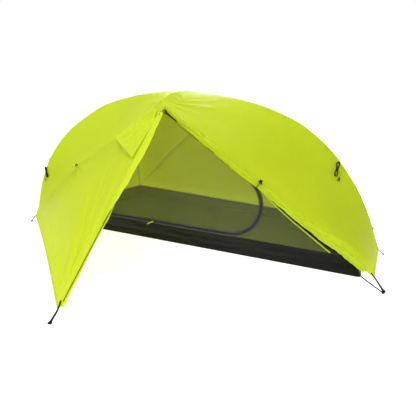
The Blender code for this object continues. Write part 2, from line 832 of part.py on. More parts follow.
# the ridge pole's shock cord runs on through the hub into the front leg pole
ridge_cord = stretch(ridge_path, cord_end, lengths(ridge_path)[-1])
leg_cord = stretch(leg_path, 0, leg_end - cord_end)
rod("shock_cord_ridge_and_front_leg", [np.concatenate([ridge_cord, leg_cord[1:]])], shock_cord_radius,
    (0.5, 0.5, 0.5), 0.8, sides=1)
rear_cord = mirrored(stretch(leg_path, cord_end / 2, leg_end - cord_end))
rod("shock_cord_rear_leg", [rear_cord], shock_cord_radius, (0.5, 0.5, 0.5), 0.8, sides=1)
cross_cord = stretch(cross_path, cord_end, cross_end - cord_end)
rod("shock_cord_cross", [cross_cord], shock_cord_radius, (0.5, 0.5, 0.5), 0.8, sides=1)

# Hub: a boss with a socket for each of the three poles
up = vec(0, 0, 1)
hub_ways = [unit(ridge_path[-2] - hub), unit(leg_path[1] - hub), unit(mirrored(leg_path[1]) - hub)]
boss = cylinder("pole_hub", hub - up * hub_boss_half, hub + up * hub_boss_half, hub_boss_radius)
for i, way in enumerate(hub_ways):
    arm = cylinder(f"hub_socket_{i}", hub, hub + way * (hub_arm + hub_overlap),
                   hub_socket_radius, cutters, 12)
    combine(boss, arm, "UNION")
for i, way in enumerate(hub_ways):
    bore = cylinder(f"hub_bore_{i}", hub + way * (hub_arm - touch_gap),
                    hub + way * (hub_arm + hub_overlap * 2),
                    pole_radius + touch_gap, cutters, 12)
    combine(boss, bore, "DIFFERENCE")
    channel = cylinder(f"hub_channel_{i}", hub - way * cord_bore, hub + way * hub_arm * 1.1,
                       cord_bore, cutters, 8)
    combine(boss, channel, "DIFFERENCE")

# Clip that holds the cross pole on the ridge pole
peak_run = float(np.interp(-peak_x, -ridge_path[:, 0], lengths(ridge_path)))
peak_point = at(ridge_path, peak_run)
peak_way = unit(at(ridge_path, peak_run + 0.01) - at(ridge_path, peak_run - 0.01))
clip_middle = vec(peak_x, 0, peak_height + cross_rise / 2)
clip_block = block("cross_pole_clip", cross_clip_size, Matrix.Translation(Vector(clip_middle)), black, 0.4,
                   bevel=clip_bevel)
for i, (centre, way) in enumerate(((peak_point, peak_way), (cross_point(0), vec(0, 1, 0)))):
    groove = cylinder(f"clip_groove_{i}", centre - way * groove_half, centre + way * groove_half,
                      pole_radius + clip_clear, cutters, 12)
    combine(clip_block, groove, "DIFFERENCE")


# Pole tips that stand in the grommets of the floor's tabs
def turned(name, profile, placement, colour, roughness, metallic=0.0):
    # a profile of radius and height, top to bottom, turned about its own Z
    def build(work):
        points = [work.verts.new((radius, 0.0, height)) for radius, height in profile]
        for a, b in zip(points[:-1], points[1:]):
            work.edges.new((a, b))
    made = new_mesh(name, build)
    made.matrix_world = placement
    screw = made.modifiers.new("turn", "SCREW")
    screw.steps = 12
    screw.render_steps = 12
    screw.use_merge_vertices = True
    screw.merge_threshold = 0.00001
    return keep(made, colour, roughness, metallic)


def facing(point, way):
    # a placement at a point whose Z follows a direction
    side = unit(np.cross(way, vec(0.3, 1, 0.2)))
    return frame_at(point, side, np.cross(way, side))


pole_feet = [(ridge_path[0], unit(ridge_path[0] - ridge_path[1])),
             (leg_path[-1], unit(leg_path[-1] - leg_path[-2]))]
pole_feet.append((mirrored(pole_feet[1][0]), mirrored(pole_feet[1][1])))
tip_profile = ((0, tip_length), (tip_radius * 0.6, tip_length), (tip_radius, tip_length - 0.002),
               (tip_radius, tip_flange_thick), (tip_flange, tip_flange_thick), (tip_flange, touch_gap),
               (0, touch_gap))
for name, (foot, way) in zip(("ridge", "leg_front", "leg_rear"), pole_feet):
    turned(f"pole_tip_{name}", tip_profile, facing(foot, way), alloy, 0.4, 0.6)

# Bathtub floor with its tabs and straps
tub_head = floor_head + vec(tub_lean, tub_lean, tub_height)
tub_foot = floor_foot + vec(-tub_foot_lean, tub_foot_lean, tub_foot_height)


def build_tub(work):
    # the long walls are creased from the head end's low corners to the foot end's top ones
    low = [work.verts.new(p) for p in (floor_head, floor_foot, mirrored(floor_foot), mirrored(floor_head))]
    high = [work.verts.new(p) for p in (tub_head, tub_foot, mirrored(tub_foot), mirrored(tub_head))]
    work.faces.new(low[::-1])
    work.faces.new((low[0], low[1], high[1]))
    work.faces.new((low[0], high[1], high[0]))
    work.faces.new((low[1], low[2], high[2], high[1]))
    work.faces.new((low[2], low[3], high[2]))
    work.faces.new((low[3], high[3], high[2]))
    work.faces.new((low[3], low[0], high[0], high[3]))


tub = keep(thicken(new_mesh("floor_tub", build_tub), tub_fabric, -1.0), black, 0.6)


def in_wall(low, high, height, outward):
    # a point just inside the tub's wall, between its lower and its upper edge
    return low + (high - low) * height / high[2] - outward * tub_fabric / 2


tub_edges = ((vec(half_length, 0, 0), vec(half_length - tub_foot_lean, 0, tub_foot_height)),
             (floor_head, tub_head),
             (mirrored(floor_head), mirrored(tub_head)))
for i, ((foot, way), (low, high)) in enumerate(zip(pole_feet, tub_edges)):
    outward = unit((foot - low) * vec(1, 1, 0))
    seat = foot + way * (tip_flange_thick + tab_clear + strap_thick / 2)
    start = in_wall(low, high, tab_start_height, outward)
    tab = webbing(f"floor_tab_{i}", [start, seat - outward * tip_flange * 1.2, seat + outward * tab_reach],
                  [np.cross(up, outward)] * 2, tab_width)
    combine(tub, tab, "UNION")
    grommet = cylinder(f"grommet_hole_{i}", seat - way * grommet_half, seat + way * grommet_half,
                       tip_radius + grommet_clear, cutters)
    combine(tub, grommet, "DIFFERENCE")

foot_stake = fly_foot_corner * vec(1, 1, 0) + unit(vec(*foot_stake_way)) * stake_reach
head_stake = fly_head_corner * vec(1, 1, 0) + unit(vec(*head_stake_way)) * stake_reach
middle_stake = fly_foot_middle * vec(1, 1, 0) + vec(middle_reach, 0, 0)
apex_stake = apex * vec(1, 1, 0) + unit(vec(*apex_stake_way)) * apex_reach
for name, corner, high, stake in (("front", floor_foot, tub_foot, foot_stake),
                                  ("rear", mirrored(floor_foot), mirrored(tub_foot), mirrored(foot_stake))):
    way = unit(stake - corner)
    start = in_wall(corner, high, floor_strap_start, way)
    strap = webbing(f"floor_strap_{name}", line(start, stake + up * floor_strap_rise, 4),
                    [np.cross(up, way)] * 2,
                    floor_strap_width)
    combine(tub, strap, "UNION")


# Webbing sewn to the fly's corners
def sew_strap(panel, rows, sewn, corner, stake, shift=0.0):
    # webbing that starts on a panel's outer face and runs over its edge to a stake
    normal = surface_normal(rows, *sewn)
    inside = surface_point(rows, *sewn) - normal * sewn_depth
    end = stake + up * stake_rise
    way = unit(end - inside)
    over = corner + normal * (strap_thick / 2 + fly_fabric / 2 + touch_gap) + unit(end - corner) * 0.004
    sides = [unit(np.cross(normal, way)), unit(np.cross(up, way))]
    moved = sides[1] * shift
    path = [inside + moved, over + moved] + list(line(over, end, 4)[1:] + moved)
    combine(panel, webbing(panel.name + f"_strap_{len(panel.modifiers)}", path, sides, strap_width), "UNION")


front_right = bpy.data.objects["fly_front_right"]
rear_right = bpy.data.objects["fly_rear_right"]
head_end = bpy.data.objects["fly_head_end"]
middle_shift = -strap_width / 2 - seam_trim - 0.001
sew_strap(front_right, front_right_rows, corner_sewn, fly_foot_corner, foot_stake)
sew_strap(rear_right, mirrored(front_right_rows), corner_sewn, mirrored(fly_foot_corner),
          mirrored(foot_stake))
sew_strap(front_right, front_right_rows, middle_sewn, fly_foot_middle, middle_stake, middle_shift)
sew_strap(head_end, head_rows, head_sewn, fly_head_corner, head_stake)
sew_strap(head_end, head_rows, head_sewn_rear, mirrored(fly_head_corner), mirrored(head_stake))
sew_strap(bpy.data.objects["vestibule_left"], vestibule_rows, apex_sewn, apex, apex_stake)

# Canopy of the inner tent
canopy_foot = tub_foot + up * canopy_clear
canopy_head = tub_head + up * canopy_clear
inner_tip = vec(peak_x, -cross_half_span + inner_tip_in, cross_tip_height - inner_tip_drop)


def pulled_in(path, centre, drop):
    tangents = np.gradient(path, axis=0)
    moved = []
    for point, tangent in zip(path, tangents):
        out = point - centre
        moved.append(point - unit(out - unit(tangent) * (out @ unit(tangent))) * drop)
    return np.array(moved)


ridge_inner = pulled_in(ridge_path, vec(peak_x, 0, 0.2), inner_drop)
inner_peak = vec(peak_x, 0, peak_height - inner_drop)
inner_hub = hub - vec(-0.01, 0, inner_drop)
foot_top_middle = vec(canopy_foot[0], 0, canopy_foot[2])
inner_foot_points = [p for p in ridge_inner[6:ridge_peak_index - 2:3] if p[2] > canopy_foot[2] + 0.06]
inner_ridge_foot = smooth([inner_peak] + inner_foot_points[::-1] + [foot_top_middle], 12)
inner_ridge_head = smooth([inner_peak, ridge_inner[(ridge_peak_index + ridge_count) // 2], inner_hub], 4)
leg_inner = pulled_in(leg_path, vec(hub_x + 0.1, 0, 0.15), inner_drop)
inner_leg_points = [p for p in leg_inner[3:-1:3] if p[2] > canopy_head[2] + 0.06]
inner_leg = smooth([inner_hub] + inner_leg_points + [canopy_head], 9)
inner_head_line = np.concatenate([inner_ridge_head, inner_leg[1:]])

foot_front_line = line(inner_tip, canopy_foot, len(inner_ridge_foot) - 1)
foot_front_rows = loft(foot_front_line, inner_ridge_foot, 3)
foot_rear_rows = mirrored(foot_front_rows)[:, ::-1]
foot_roof_rows = np.concatenate([foot_front_rows, foot_rear_rows[:, 1:]], axis=1)
sewn_panel("inner_foot_roof", foot_roof_rows, mesh_fabric, mesh_tone, 0.9)
side_front_line = line(inner_tip, canopy_head, len(inner_head_line) - 1)
side_front_rows = loft(side_front_line, inner_head_line, 3)
inner_side_front = sewn_panel("inner_side_front", side_front_rows[:, ::-1], mesh_fabric, mesh_tone, 0.9)
inner_side_rear = sewn_panel("inner_side_rear", mirrored(side_front_rows), mesh_fabric, mesh_tone, 0.9)
inner_head_rows = loft(inner_leg, mirrored(inner_leg), 4)
sewn_panel("inner_head_wall", inner_head_rows, mesh_fabric, mesh_tone, 0.9)


def hook(path, distance, canopy_line, flip=False):
    # a J shaped clip that hangs the inner canopy from a pole
    centre = at(path, distance)
    tangent = unit(at(path, distance + 0.01) - at(path, distance - 0.01))
    near_line = even(canopy_line, 200)
    inward = near_line[np.argmin(np.linalg.norm(near_line - centre, axis=1))] - centre
    drop = np.linalg.norm(inward) - hook_stand
    out = -unit(inward - tangent * (inward @ tangent))
    lateral = np.cross(tangent, out)
    reach = pole_radius + touch_gap + hook_radius
    points = [centre + lateral * reach - out * drop, centre + lateral * reach - out * reach]
    for i in range(8):
        turn = math.radians(hook_sweep * i / 7)
        points.append(centre + reach * (math.cos(turn) * lateral + math.sin(turn) * out))
    return mirrored(points) if flip else np.array(points)


for i, share in enumerate(ridge_clip_shares):
    clip_line = hook(ridge_path, ridge_end * share, inner_ridge_foot)
    rod(f"ridge_clip_{i + 1}", [clip_line], hook_radius, black, 0.4)
rod("leg_clip_front", [hook(leg_path, leg_end * leg_clip_share, inner_leg)], hook_radius, black, 0.4)
rear_clip_line = hook(leg_path, leg_end * leg_clip_share, inner_leg, flip=True)
rod("leg_clip_rear", [rear_clip_line], hook_radius, black, 0.4)

# Webbing from the canopy's peak corners up to the cross pole's caps
tab_shift = vec(-peak_tab_width / 2 - seam_trim, 0, 0)
for name, panel, flip in (("front", inner_side_front, 1), ("rear", inner_side_rear, -1)):
    sheet = side_front_rows * vec(1, flip, 1)
    normal = surface_normal(sheet, *peak_tab_start)
    start = surface_point(sheet, *peak_tab_start) - normal * sewn_depth
    cap = cap_ends[0][0] * vec(1, flip, 1)
    end = cap - up * (pole_radius + cap_wall + strap_thick / 2 + touch_gap)
    corner = inner_tip * vec(1, flip, 1) + normal * (strap_thick + touch_gap)
    path = [start, corner + tab_shift, end + tab_shift]
    combine(panel, webbing(f"peak_tab_{name}", path, [vec(1, 0, 0)] * 2, peak_tab_width), "UNION")

# Front and rear walls of the inner tent are flat triangles between the tub's edge and the tip
wall_length = np.linalg.norm(canopy_foot - canopy_head)
wall_along = (canopy_foot - canopy_head) / wall_length
tip_along = (inner_tip - canopy_head) @ wall_along
wall_up = unit(inner_tip - canopy_head - wall_along * tip_along)
tip_up = (inner_tip - canopy_head) @ wall_up
wall_out = np.cross(wall_along, wall_up)
front_place = frame_at(canopy_head, wall_along, wall_up)
rear_place = frame_at(mirrored(canopy_head), mirrored(wall_along), mirrored(wall_up))


def on_wall(point, out=0.0):
    return canopy_head + wall_along * point[0] + wall_up * point[1] + wall_out * out


def crossing(point_a, way_a, point_b, way_b):
    # where two lines in a plane meet
    share = np.linalg.solve(np.array([way_a, -way_b]).T, point_b - point_a)[0]
    return point_a + way_a * share


def wall_triangle(left, right, bottom):
    # the wall's triangle with each edge moved in: head corner, foot corner, peak
    left_way = unit(np.array([tip_along, tip_up]))
    right_way = unit(np.array([tip_along - wall_length, tip_up]))
    left_point = np.array([left_way[1], -left_way[0]]) * left
    right_point = np.array([wall_length, 0.0]) - np.array([right_way[1], -right_way[0]]) * right
    low_point = np.array([0.0, bottom])
    flat = np.array([1.0, 0.0])
    return [crossing(low_point, flat, left_point, left_way),
            crossing(low_point, flat, right_point, right_way),
            crossing(left_point, left_way, right_point, right_way)]


def rounded(corners, radii, count=8):
    # a polygon with its corners turned into arcs; one list of points for each corner
    arcs = []
    for i, corner in enumerate(corners):
        back = unit(corners[i - 1] - corner)
        ahead = unit(corners[(i + 1) % len(corners)] - corner)
        half = math.acos(float(np.clip(back @ ahead, -1, 1))) / 2
        centre = corner + unit(back + ahead) * radii[i] / math.sin(half)
        first = corner + back * radii[i] / math.tan(half) - centre
        spin = 1 if back[0] * ahead[1] - back[1] * ahead[0] < 0 else -1
        arc = []
        for k in range(count + 1):
            a = spin * (math.pi - 2 * half) * k / count
            arc.append(centre + np.array([first[0] * math.cos(a) - first[1] * math.sin(a),
                                          first[0] * math.sin(a) + first[1] * math.cos(a)]))
        arcs.append(arc)
    return arcs


def door_arcs(inside, hinge_inside):
    # the door's outline, drawn inside the middle of the zip by the two amounts
    corners = wall_triangle(door_left_inset + hinge_inside, door_right_inset + inside,
                            door_bottom_inset + inside)
    return rounded(corners, (door_left_radius, door_low_radius - inside, door_top_radius - inside), 10)


wall_outline = wall_triangle(seam_trim, seam_trim, 0.0)
wall_hole = [p for arc in door_arcs(-zip_slot, 0.0) for p in arc]
flat_plate("inner_front_wall", [wall_outline, wall_hole], mesh_fabric, front_place, mesh_tone, 0.9)
flat_plate("inner_rear_wall", [wall_outline], mesh_fabric, rear_place, mesh_tone, 0.9)
door_outline = [p for arc in door_arcs(door_slot, hinge_slot) for p in arc]
inner_door = flat_plate("inner_door", [door_outline], mesh_fabric, front_place, mesh_tone, 0.9)

# Zip round the door, its slider and its pull tab
zip_arcs = door_arcs(0.0, 0.0)
zip_middle = [zip_arcs[0][-1], *zip_arcs[1], *zip_arcs[2][:zip_top_points]]
rod("inner_door_zip", [[on_wall(p) for p in zip_middle]], zip_radius, black, 0.6, sides=1)
slider_out = zip_radius + touch_gap + inner_slider_size[2] / 2
inner_slider_middle = on_wall((inner_slider_at, door_bottom_inset), slider_out)
inner_slider_place = frame_at(inner_slider_middle, wall_along, wall_up)
inner_slider = block("inner_zip_slider", inner_slider_size, inner_slider_place, black,
                     0.4, bevel=small_bevel)
pull_way = -wall_along * math.cos(pull_droop) - wall_up * math.sin(pull_droop)
inner_pull_pivot = inner_slider_middle + wall_out * (inner_slider_size[2] / 2 + touch_gap + pull_thick / 2)
inner_pull_middle = inner_pull_pivot + pull_way * (inner_pull_length / 2 - pull_hinge_in)
inner_pull_hole_place = inner_pull_length / 2 - inner_pull_hole_in
inner_pull_outline = [bar(inner_pull_length, pull_width), hole(inner_pull_hole_place, 0, pull_hole)]
inner_pull_place = frame_at(inner_pull_middle, pull_way, np.cross(wall_out, pull_way))
inner_pull = flat_plate("inner_zip_pull", inner_pull_outline, pull_thick, inner_pull_place, lime, 0.6)


# Guylines: a webbing tie on the fly, a short lead, the hank and a tail with its tensioner
def hank_points():
    # one unbroken cord in four layers that spiral in and out; X runs up the hank
    first_turn = math.pi / 2 + 2 * math.pi * hank_turns
    step = 2 * math.pi / points_in_loop
    hank_start = step * lead_point
    last = first_turn + 2 * math.pi * hank_turns * (hank_layers - 1)

    def inner(angle):
        return np.array([hank_half_length * math.cos(angle),
                         math.sin(angle) * (hank_waist + hank_bulge * math.cos(angle) ** 2)])
    points = []
    for i in range(round((last - hank_start) / step) + 1):
        angle = hank_start + step * i
        way = unit(inner(angle + 0.01) - inner(angle - 0.01))
        out = np.array([way[1], -way[0]])
        since = (angle - first_turn) / (2 * math.pi * hank_turns)
        wind = hank_turns * (-since if since < 0 else abs((since + 1) % 2 - 1))
        plan = inner(angle) + out * hank_step * wind
        layer = 0.0
        for turn in range(hank_layers - 1):
            climb = (angle - first_turn - 2 * math.pi * hank_turns * turn) / math.pi + 0.5
            climb = min(max(climb, 0.0), 1.0)
            layer += climb * climb * (3 - 2 * climb)
        points.append(vec(plan[0], plan[1], hank_layer_step * (layer - (hank_layers - 1) / 2)))
    lead_way = unit(points[0] - points[1])
    tail_way = unit(points[-1] - points[-2])
    reach = guy_cord_radius * 2
    return np.array([points[0] + lead_way * reach] + points + [points[-1] + tail_way * reach])


hank = hank_points()
fine_hank = even(hank, 1200)
apart = np.linalg.norm(fine_hank[:, None] - fine_hank[None, :], axis=2)
order = np.arange(len(fine_hank))
apart[np.abs(np.subtract.outer(order, order)) < 8] = 9.0
hank_gap = float(apart.min()) - 2 * guy_cord_radius
print("hank length", round(float(lengths(hank)[-1]), 4), "least gap", round(hank_gap, 5))


def guyline(side, tie_root, tie_along, tie_face, hank_top, hank_low, hank_face, hand):
    # hand is 1 or -1: the side of the hank that the tail hangs on
    tie_way = unit(tie_along + tie_face * tie_lift)
    stand = fly_fabric / 2 + strap_thick / 2 + touch_gap * 2
    tie_middle = tie_root + tie_face * stand + tie_way * tie_length / 2
    tie_outline = [bar(tie_length, tie_width), hole(tie_length / 2 - tie_width / 2, 0, tie_hole)]
    flat_plate(f"guy_tie_{side}", tie_outline,
               strap_thick, frame_at(tie_middle, tie_way, np.cross(tie_face, tie_way)), black, 0.8)

    hank_up = unit(hank_top - hank_low)
    hank_up = unit(hank_up - hank_face * (hank_up @ hank_face))
    half_thick = hank_layer_step * (hank_layers - 1) / 2 + guy_cord_radius
    middle = (hank_top + hank_low) / 2 + hank_face * (fly_fabric / 2 + hank_stand + half_thick)
    across = np.cross(hank_face, hank_up) * hand

    def placed(point):
        return middle + hank_up * point[0] + across * point[1] + hank_face * point[2]
    loops = np.array([placed(p) for p in hank])
    hank_node = rod(f"guyline_{side}_hank", [loops], guy_cord_radius, black, 0.8, sides=1)

    width = guy_cord_radius * 2
    lead_way = unit(loops[0] - loops[1])
    lead_start = loops[0] + lead_way * touch_gap
    lead_end = tie_middle + tie_way * (tie_length / 2 + swing_gap)
    lead_out = lead_start + lead_way * lead_straight
    curve = smooth([lead_start + lead_way * width, lead_out, (lead_out + lead_end) / 2 + hank_face * lead_sag,
                    lead_end + tie_way * width], 8)
    lead = rod(f"guyline_{side}_lead", [[lead_start, *curve, lead_end]], guy_cord_radius, black, 0.8)
    print("guyline", side, "lead length", round(float(lengths(np.array([lead_start, *curve]))[-1]), 4))

    tail_way = unit(loops[-1] - loops[-2])
    tail_start = loops[-1] + tail_way * touch_gap
    top_layer = hank[-1][2]
    tensioner_middle = placed((-tensioner_drop, tensioner_side, top_layer))
    tail_end = placed((-tensioner_drop + tensioner_length / 2 + touch_gap, tensioner_side, top_layer))
    bends = [placed((-down, tensioner_side * side_share, top_layer)) for down, side_share in tail_bends]
    curve = smooth([tail_start + tail_way * width, *bends, tail_end + hank_up * width], 8)
    tail = rod(f"guyline_{side}_tail", [[tail_start, *curve, tail_end]], guy_cord_radius, black, 0.8)
    holes = [hole(s * (tensioner_length / 2 - tensioner_width / 2), 0, tensioner_hole) for s in (-1, 1)]
    outline = [bar(tensioner_length, tensioner_width), *holes]
    tensioner = flat_plate(f"guyline_{side}_tensioner", outline, tensioner_thick,
                           frame_at(tensioner_middle, hank_up, across), black, 0.5)
    on_axis(f"guyline_{side}_swing", lead_end, np.cross(-hank_up, hank_face),
            [hank_node, lead, tail, tensioner])


def panel_tangent(rows, down, across):
    return unit(surface_point(rows, down + slope_step, across)
                - surface_point(rows, down - slope_step, across))


right_along = panel_tangent(front_right_rows, tie_right_share, 1.0)
right_face = unit(np.cross(right_along, vec(0, 1, 0)))
right_face = right_face if right_face[0] > 0 else -right_face
guyline("right", surface_point(front_right_rows, tie_right_share, 1.0), right_along, right_face,
        surface_point(front_right_rows, *hank_right_top), surface_point(front_right_rows, *hank_right_low),
        surface_normal(front_right_rows, *hank_right_top), -1)

leg_run = lengths(fly_leg_front)[-1]
left_root = at(fly_leg_front, leg_run * tie_left_share)
tie_run = leg_run * tie_left_share
tie_step = leg_run * slope_step
left_along = unit(at(fly_leg_front, tie_run + tie_step) - at(fly_leg_front, tie_run - tie_step))
left_face = surface_normal(front_left_rows, 0.73, 0.9) + surface_normal(head_rows, tie_left_share, 0.1)
left_face = unit(left_face - left_along * (left_face @ left_along))
guyline("left", left_root, left_along, left_face,
        surface_point(front_left_rows, *hank_left_top), surface_point(front_left_rows, *hank_left_low),
        surface_normal(front_left_rows, *hank_left_low), 1)

# Axes of the moving pieces
seam_chord = unit(fly_head_corner - fly_tip)
seam_middle = seam_line[int(np.argmax(seam_push))]
down_slope = apex - seam_middle
down_slope = unit(down_slope - seam_chord * (down_slope @ seam_chord))
vestibule_axis = seam_chord if np.cross(down_slope, seam_out) @ seam_chord > 0 else -seam_chord
vestibule_pieces = [bpy.data.objects[name] for name in ("vestibule_left", "vestibule_zip", "vent_hood")]
on_axis("vestibule_swing", seam_middle, vestibule_axis, vestibule_pieces)
door_low = on_wall(rounded(wall_triangle(door_left_inset, 0, door_bottom_inset), (0.001,) * 3)[0][0])
door_axis = -unit(wall_along * tip_along + wall_up * tip_up)
on_axis("inner_door_swing", door_low, door_axis, [inner_door])
on_axis("inner_slider_run", inner_slider_middle, wall_along, [inner_slider])
on_axis("inner_pull_turn", inner_pull_pivot, wall_out, [inner_pull])
on_axis("vestibule_slider_run", fly_slider_middle, zip_along, [bpy.data.objects["vestibule_zip_slider"]])
fly_pull_pivot = pull_middle - zip_along * (fly_pull_length / 2 - pull_hinge_in)
on_axis("vestibule_pull_turn", fly_pull_pivot, zip_face, [bpy.data.objects["vestibule_zip_pull"]])
on_axis("roll_toggle_turn", toggle_middle, toggle_out, [toggle])
strut_axis = unit(np.cross(strut_out, strut_down_slope))
on_axis("vent_strut_fold", strut_base + strut_out * strut_thick / 2, strut_axis,
        [bpy.data.objects["vent_strut"]])
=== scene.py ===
import math

import bmesh
import bpy
import numpy as np
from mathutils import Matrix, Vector, noise
from mathutils.geometry import delaunay_2d_cdt


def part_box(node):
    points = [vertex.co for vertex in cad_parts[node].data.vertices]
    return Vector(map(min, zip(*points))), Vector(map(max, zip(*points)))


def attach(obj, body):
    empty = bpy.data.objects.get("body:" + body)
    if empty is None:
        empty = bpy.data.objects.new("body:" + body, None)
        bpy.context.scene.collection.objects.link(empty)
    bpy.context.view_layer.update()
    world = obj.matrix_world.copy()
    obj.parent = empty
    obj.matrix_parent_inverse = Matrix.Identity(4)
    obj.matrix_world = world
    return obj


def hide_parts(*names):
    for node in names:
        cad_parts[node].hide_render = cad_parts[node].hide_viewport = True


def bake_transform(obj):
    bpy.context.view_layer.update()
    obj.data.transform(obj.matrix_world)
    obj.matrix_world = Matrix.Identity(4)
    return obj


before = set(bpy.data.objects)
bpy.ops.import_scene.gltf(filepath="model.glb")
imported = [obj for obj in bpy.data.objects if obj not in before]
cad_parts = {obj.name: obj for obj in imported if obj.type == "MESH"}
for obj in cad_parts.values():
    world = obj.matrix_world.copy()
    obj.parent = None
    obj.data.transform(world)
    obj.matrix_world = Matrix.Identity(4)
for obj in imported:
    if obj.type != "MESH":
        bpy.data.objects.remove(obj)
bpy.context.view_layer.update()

# Camera at the photo's angle
view = {"place": (0.9592, -1.8327, 0.768), "turn": 0.474, "dip": 0.2986, "lens": 23.58}

cameraData = bpy.data.cameras.new("photoCamera")
cameraData.sensor_width = 36
cameraData.lens = view["lens"]
cameraData.clip_start = 0.01
photoCamera = bpy.data.objects.new("photoCamera", cameraData)
photoCamera.location = view["place"]
photoCamera.rotation_euler = (math.pi / 2 - view["dip"], 0, view["turn"])
bpy.context.scene.collection.objects.link(photoCamera)
bpy.context.scene.camera = photoCamera


# Small helpers for points and paths
def vec(x, y, z):
    return np.array([float(x), float(y), float(z)])


def unit(v):
    v = np.asarray(v, float)
    return v / np.maximum(np.linalg.norm(v, axis=-1, keepdims=True), 1e-12)


def mirrored(points):
    return np.array(points) * np.array([1.0, -1.0, 1.0])


def lengths(path):
    steps = np.linalg.norm(np.diff(path, axis=0), axis=1)
    return np.concatenate([[0.0], np.cumsum(steps)])


def atLength(path, distance):
    run = lengths(path)
    return np.stack([np.interp(distance, run, path[:, i]) for i in range(3)], axis=-1)


def evenly(path, count):
    return atLength(path, np.linspace(0, lengths(path)[-1], count + 1))


def smoothPath(points, count):
    # even points on a smooth curve through the given ones
    points = np.array(points, float)
    knots = lengths(points)
    tangents = np.gradient(points, knots, axis=0, edge_order=2)
    fine = []
    for i in range(len(points) - 1):
        span = knots[i + 1] - knots[i]
        t = np.linspace(0, 1, 20, endpoint=False)[:, None]
        start = (2 * t**3 - 3 * t**2 + 1) * points[i] + (t**3 - 2 * t**2 + t) * span * tangents[i]
        end = (3 * t**2 - 2 * t**3) * points[i + 1] + (t**3 - t**2) * span * tangents[i + 1]
        fine.append(start + end)
    return evenly(np.concatenate(fine + [points[-1:]]), count)


def straight(a, b, count):
    return a + (b - a) * np.linspace(0, 1, count + 1)[:, None]


def ease(x, low, high):
    t = np.clip((x - low) / (high - low), 0, 1)
    return t * t * (3 - 2 * t)


def noiseAt(points, scale, seed):
    # smooth noise from -1 to 1; scale is one number or one for each axis
    moved = np.asarray(points, float).reshape(-1, 3) * np.array(scale) + np.array([7.31, 3.17, 5.73]) * seed
    return np.array([noise.noise(Vector(p)) for p in moved]).reshape(np.shape(points)[:-1])


def raised(points):
    # plane points with a height of zero
    return np.column_stack([points, np.zeros(len(points))])


def towards(direction, side):
    # a direction, turned round if it points away from the given side
    return direction if direction @ side > 0 else -direction


doorSide, footSide = vec(0, -1, 0), vec(1, 0, 0)


def distanceToPath(points, path):
    # from each point to the nearest stretch of a path
    best = np.full(len(points), 1e9)
    for a, b in zip(path[:-1], path[1:]):
        way = b - a
        t = np.clip((points - a) @ way / max(way @ way, 1e-12), 0, 1)
        best = np.minimum(best, np.linalg.norm(points - a - t[:, None] * way, axis=1))
    return best


# Node trees
class Wiring:
    # adds nodes to one tree and feeds their sockets
    def __init__(self, tree):
        self.tree = tree

    def feed(self, socket, value):
        if isinstance(value, bpy.types.NodeSocket):
            self.tree.links.new(value, socket)
        else:
            socket.default_value = value

    def node(self, kind, feeds=None, **settings):
        made = self.tree.nodes.new(kind)
        for name, value in settings.items():
            setattr(made, name, value)
        for name, value in (feeds or {}).items():
            self.feed(made.inputs[name], value)
        return made

    def math(self, operation, *values):
        return self.node("ShaderNodeMath", dict(enumerate(values)), operation=operation).outputs[0]

    def plus(self, *values):
        return self.math("ADD", *values)

    def minus(self, *values):
        return self.math("SUBTRACT", *values)

    def times(self, *values):
        return self.math("MULTIPLY", *values)


def newGroup(name, inputs, outputs, kind="ShaderNodeTree"):
    tree = bpy.data.node_groups.new(name, kind)
    for label, socketKind, value in inputs:
        socket = tree.interface.new_socket(label, in_out="INPUT", socket_type=socketKind)
        if value is not None:
            socket.default_value = value
    for label, socketKind in outputs:
        tree.interface.new_socket(label, in_out="OUTPUT", socket_type=socketKind)
    wiring = Wiring(tree)
    return tree, wiring, wiring.node("NodeGroupInput").outputs, wiring.node("NodeGroupOutput").inputs


def ripstopGroup():
    # woven threads with a grid of thicker ones, on a UV map in metres
    tree, w, given, out = newGroup("ripstopWeave", [
        ("Cloth", "NodeSocketVector", None), ("Threads", "NodeSocketFloat", 900.0),
        ("Grid", "NodeSocketFloat", 0.006), ("Grid Width", "NodeSocketFloat", 0.0005)],
                                   [("Height", "NodeSocketFloat"), ("Grid Lines", "NodeSocketFloat")])
    split = w.node("ShaderNodeSeparateXYZ", {0: given["Cloth"]}).outputs
    turns = w.times(given["Threads"], 2 * math.pi)
    waves = [w.math("SINE", w.times(split[i], turns)) for i in (0, 1)]
    half = w.times(given["Grid"], 0.5)
    lines = []
    for i in (0, 1):
        away = w.math("PINGPONG", split[i], half)
        lines.append(w.node("ShaderNodeMapRange",
                            {"Value": away, "From Min": 0.0, "From Max": given["Grid Width"],
                             "To Min": 1.0, "To Max": 0.0}).outputs[0])
    grid = w.math("MAXIMUM", *lines)
    weave = w.times(waves[0], waves[1])
    w.feed(out["Height"], w.plus(w.times(weave, 0.35), grid))
    w.feed(out["Grid Lines"], grid)
    return tree


def creaseGroup():
    # soft waves and sharper creases of cloth, on object coordinates
    tree, w, given, out = newGroup("clothCreases", [
        ("Place", "NodeSocketVector", None), ("Scale", "NodeSocketFloat", 9.0),
        ("Sharpness", "NodeSocketFloat", 0.5)],
                                   [("Height", "NodeSocketFloat"), ("Patches", "NodeSocketFloat")])
    wide = w.node("ShaderNodeTexNoise", {"Vector": given["Place"], "Scale": given["Scale"], "Detail": 3.0,
                                         "Roughness": 0.45, "Distortion": 0.6})
    fine = w.node("ShaderNodeTexNoise", {"Vector": given["Place"], "Scale": w.times(given["Scale"], 3.3),
                                         "Detail": 2.0, "Distortion": 1.2})
    ridge = w.minus(1.0, w.math("ABSOLUTE", w.times(w.minus(fine.outputs[0], 0.5), 4.0)))
    ridge = w.times(w.math("MAXIMUM", ridge, 0.0), given["Sharpness"])
    w.feed(out["Height"], w.plus(wide.outputs[0], w.times(ridge, 0.4)))
    w.feed(out["Patches"], wide.outputs[0])
    return tree


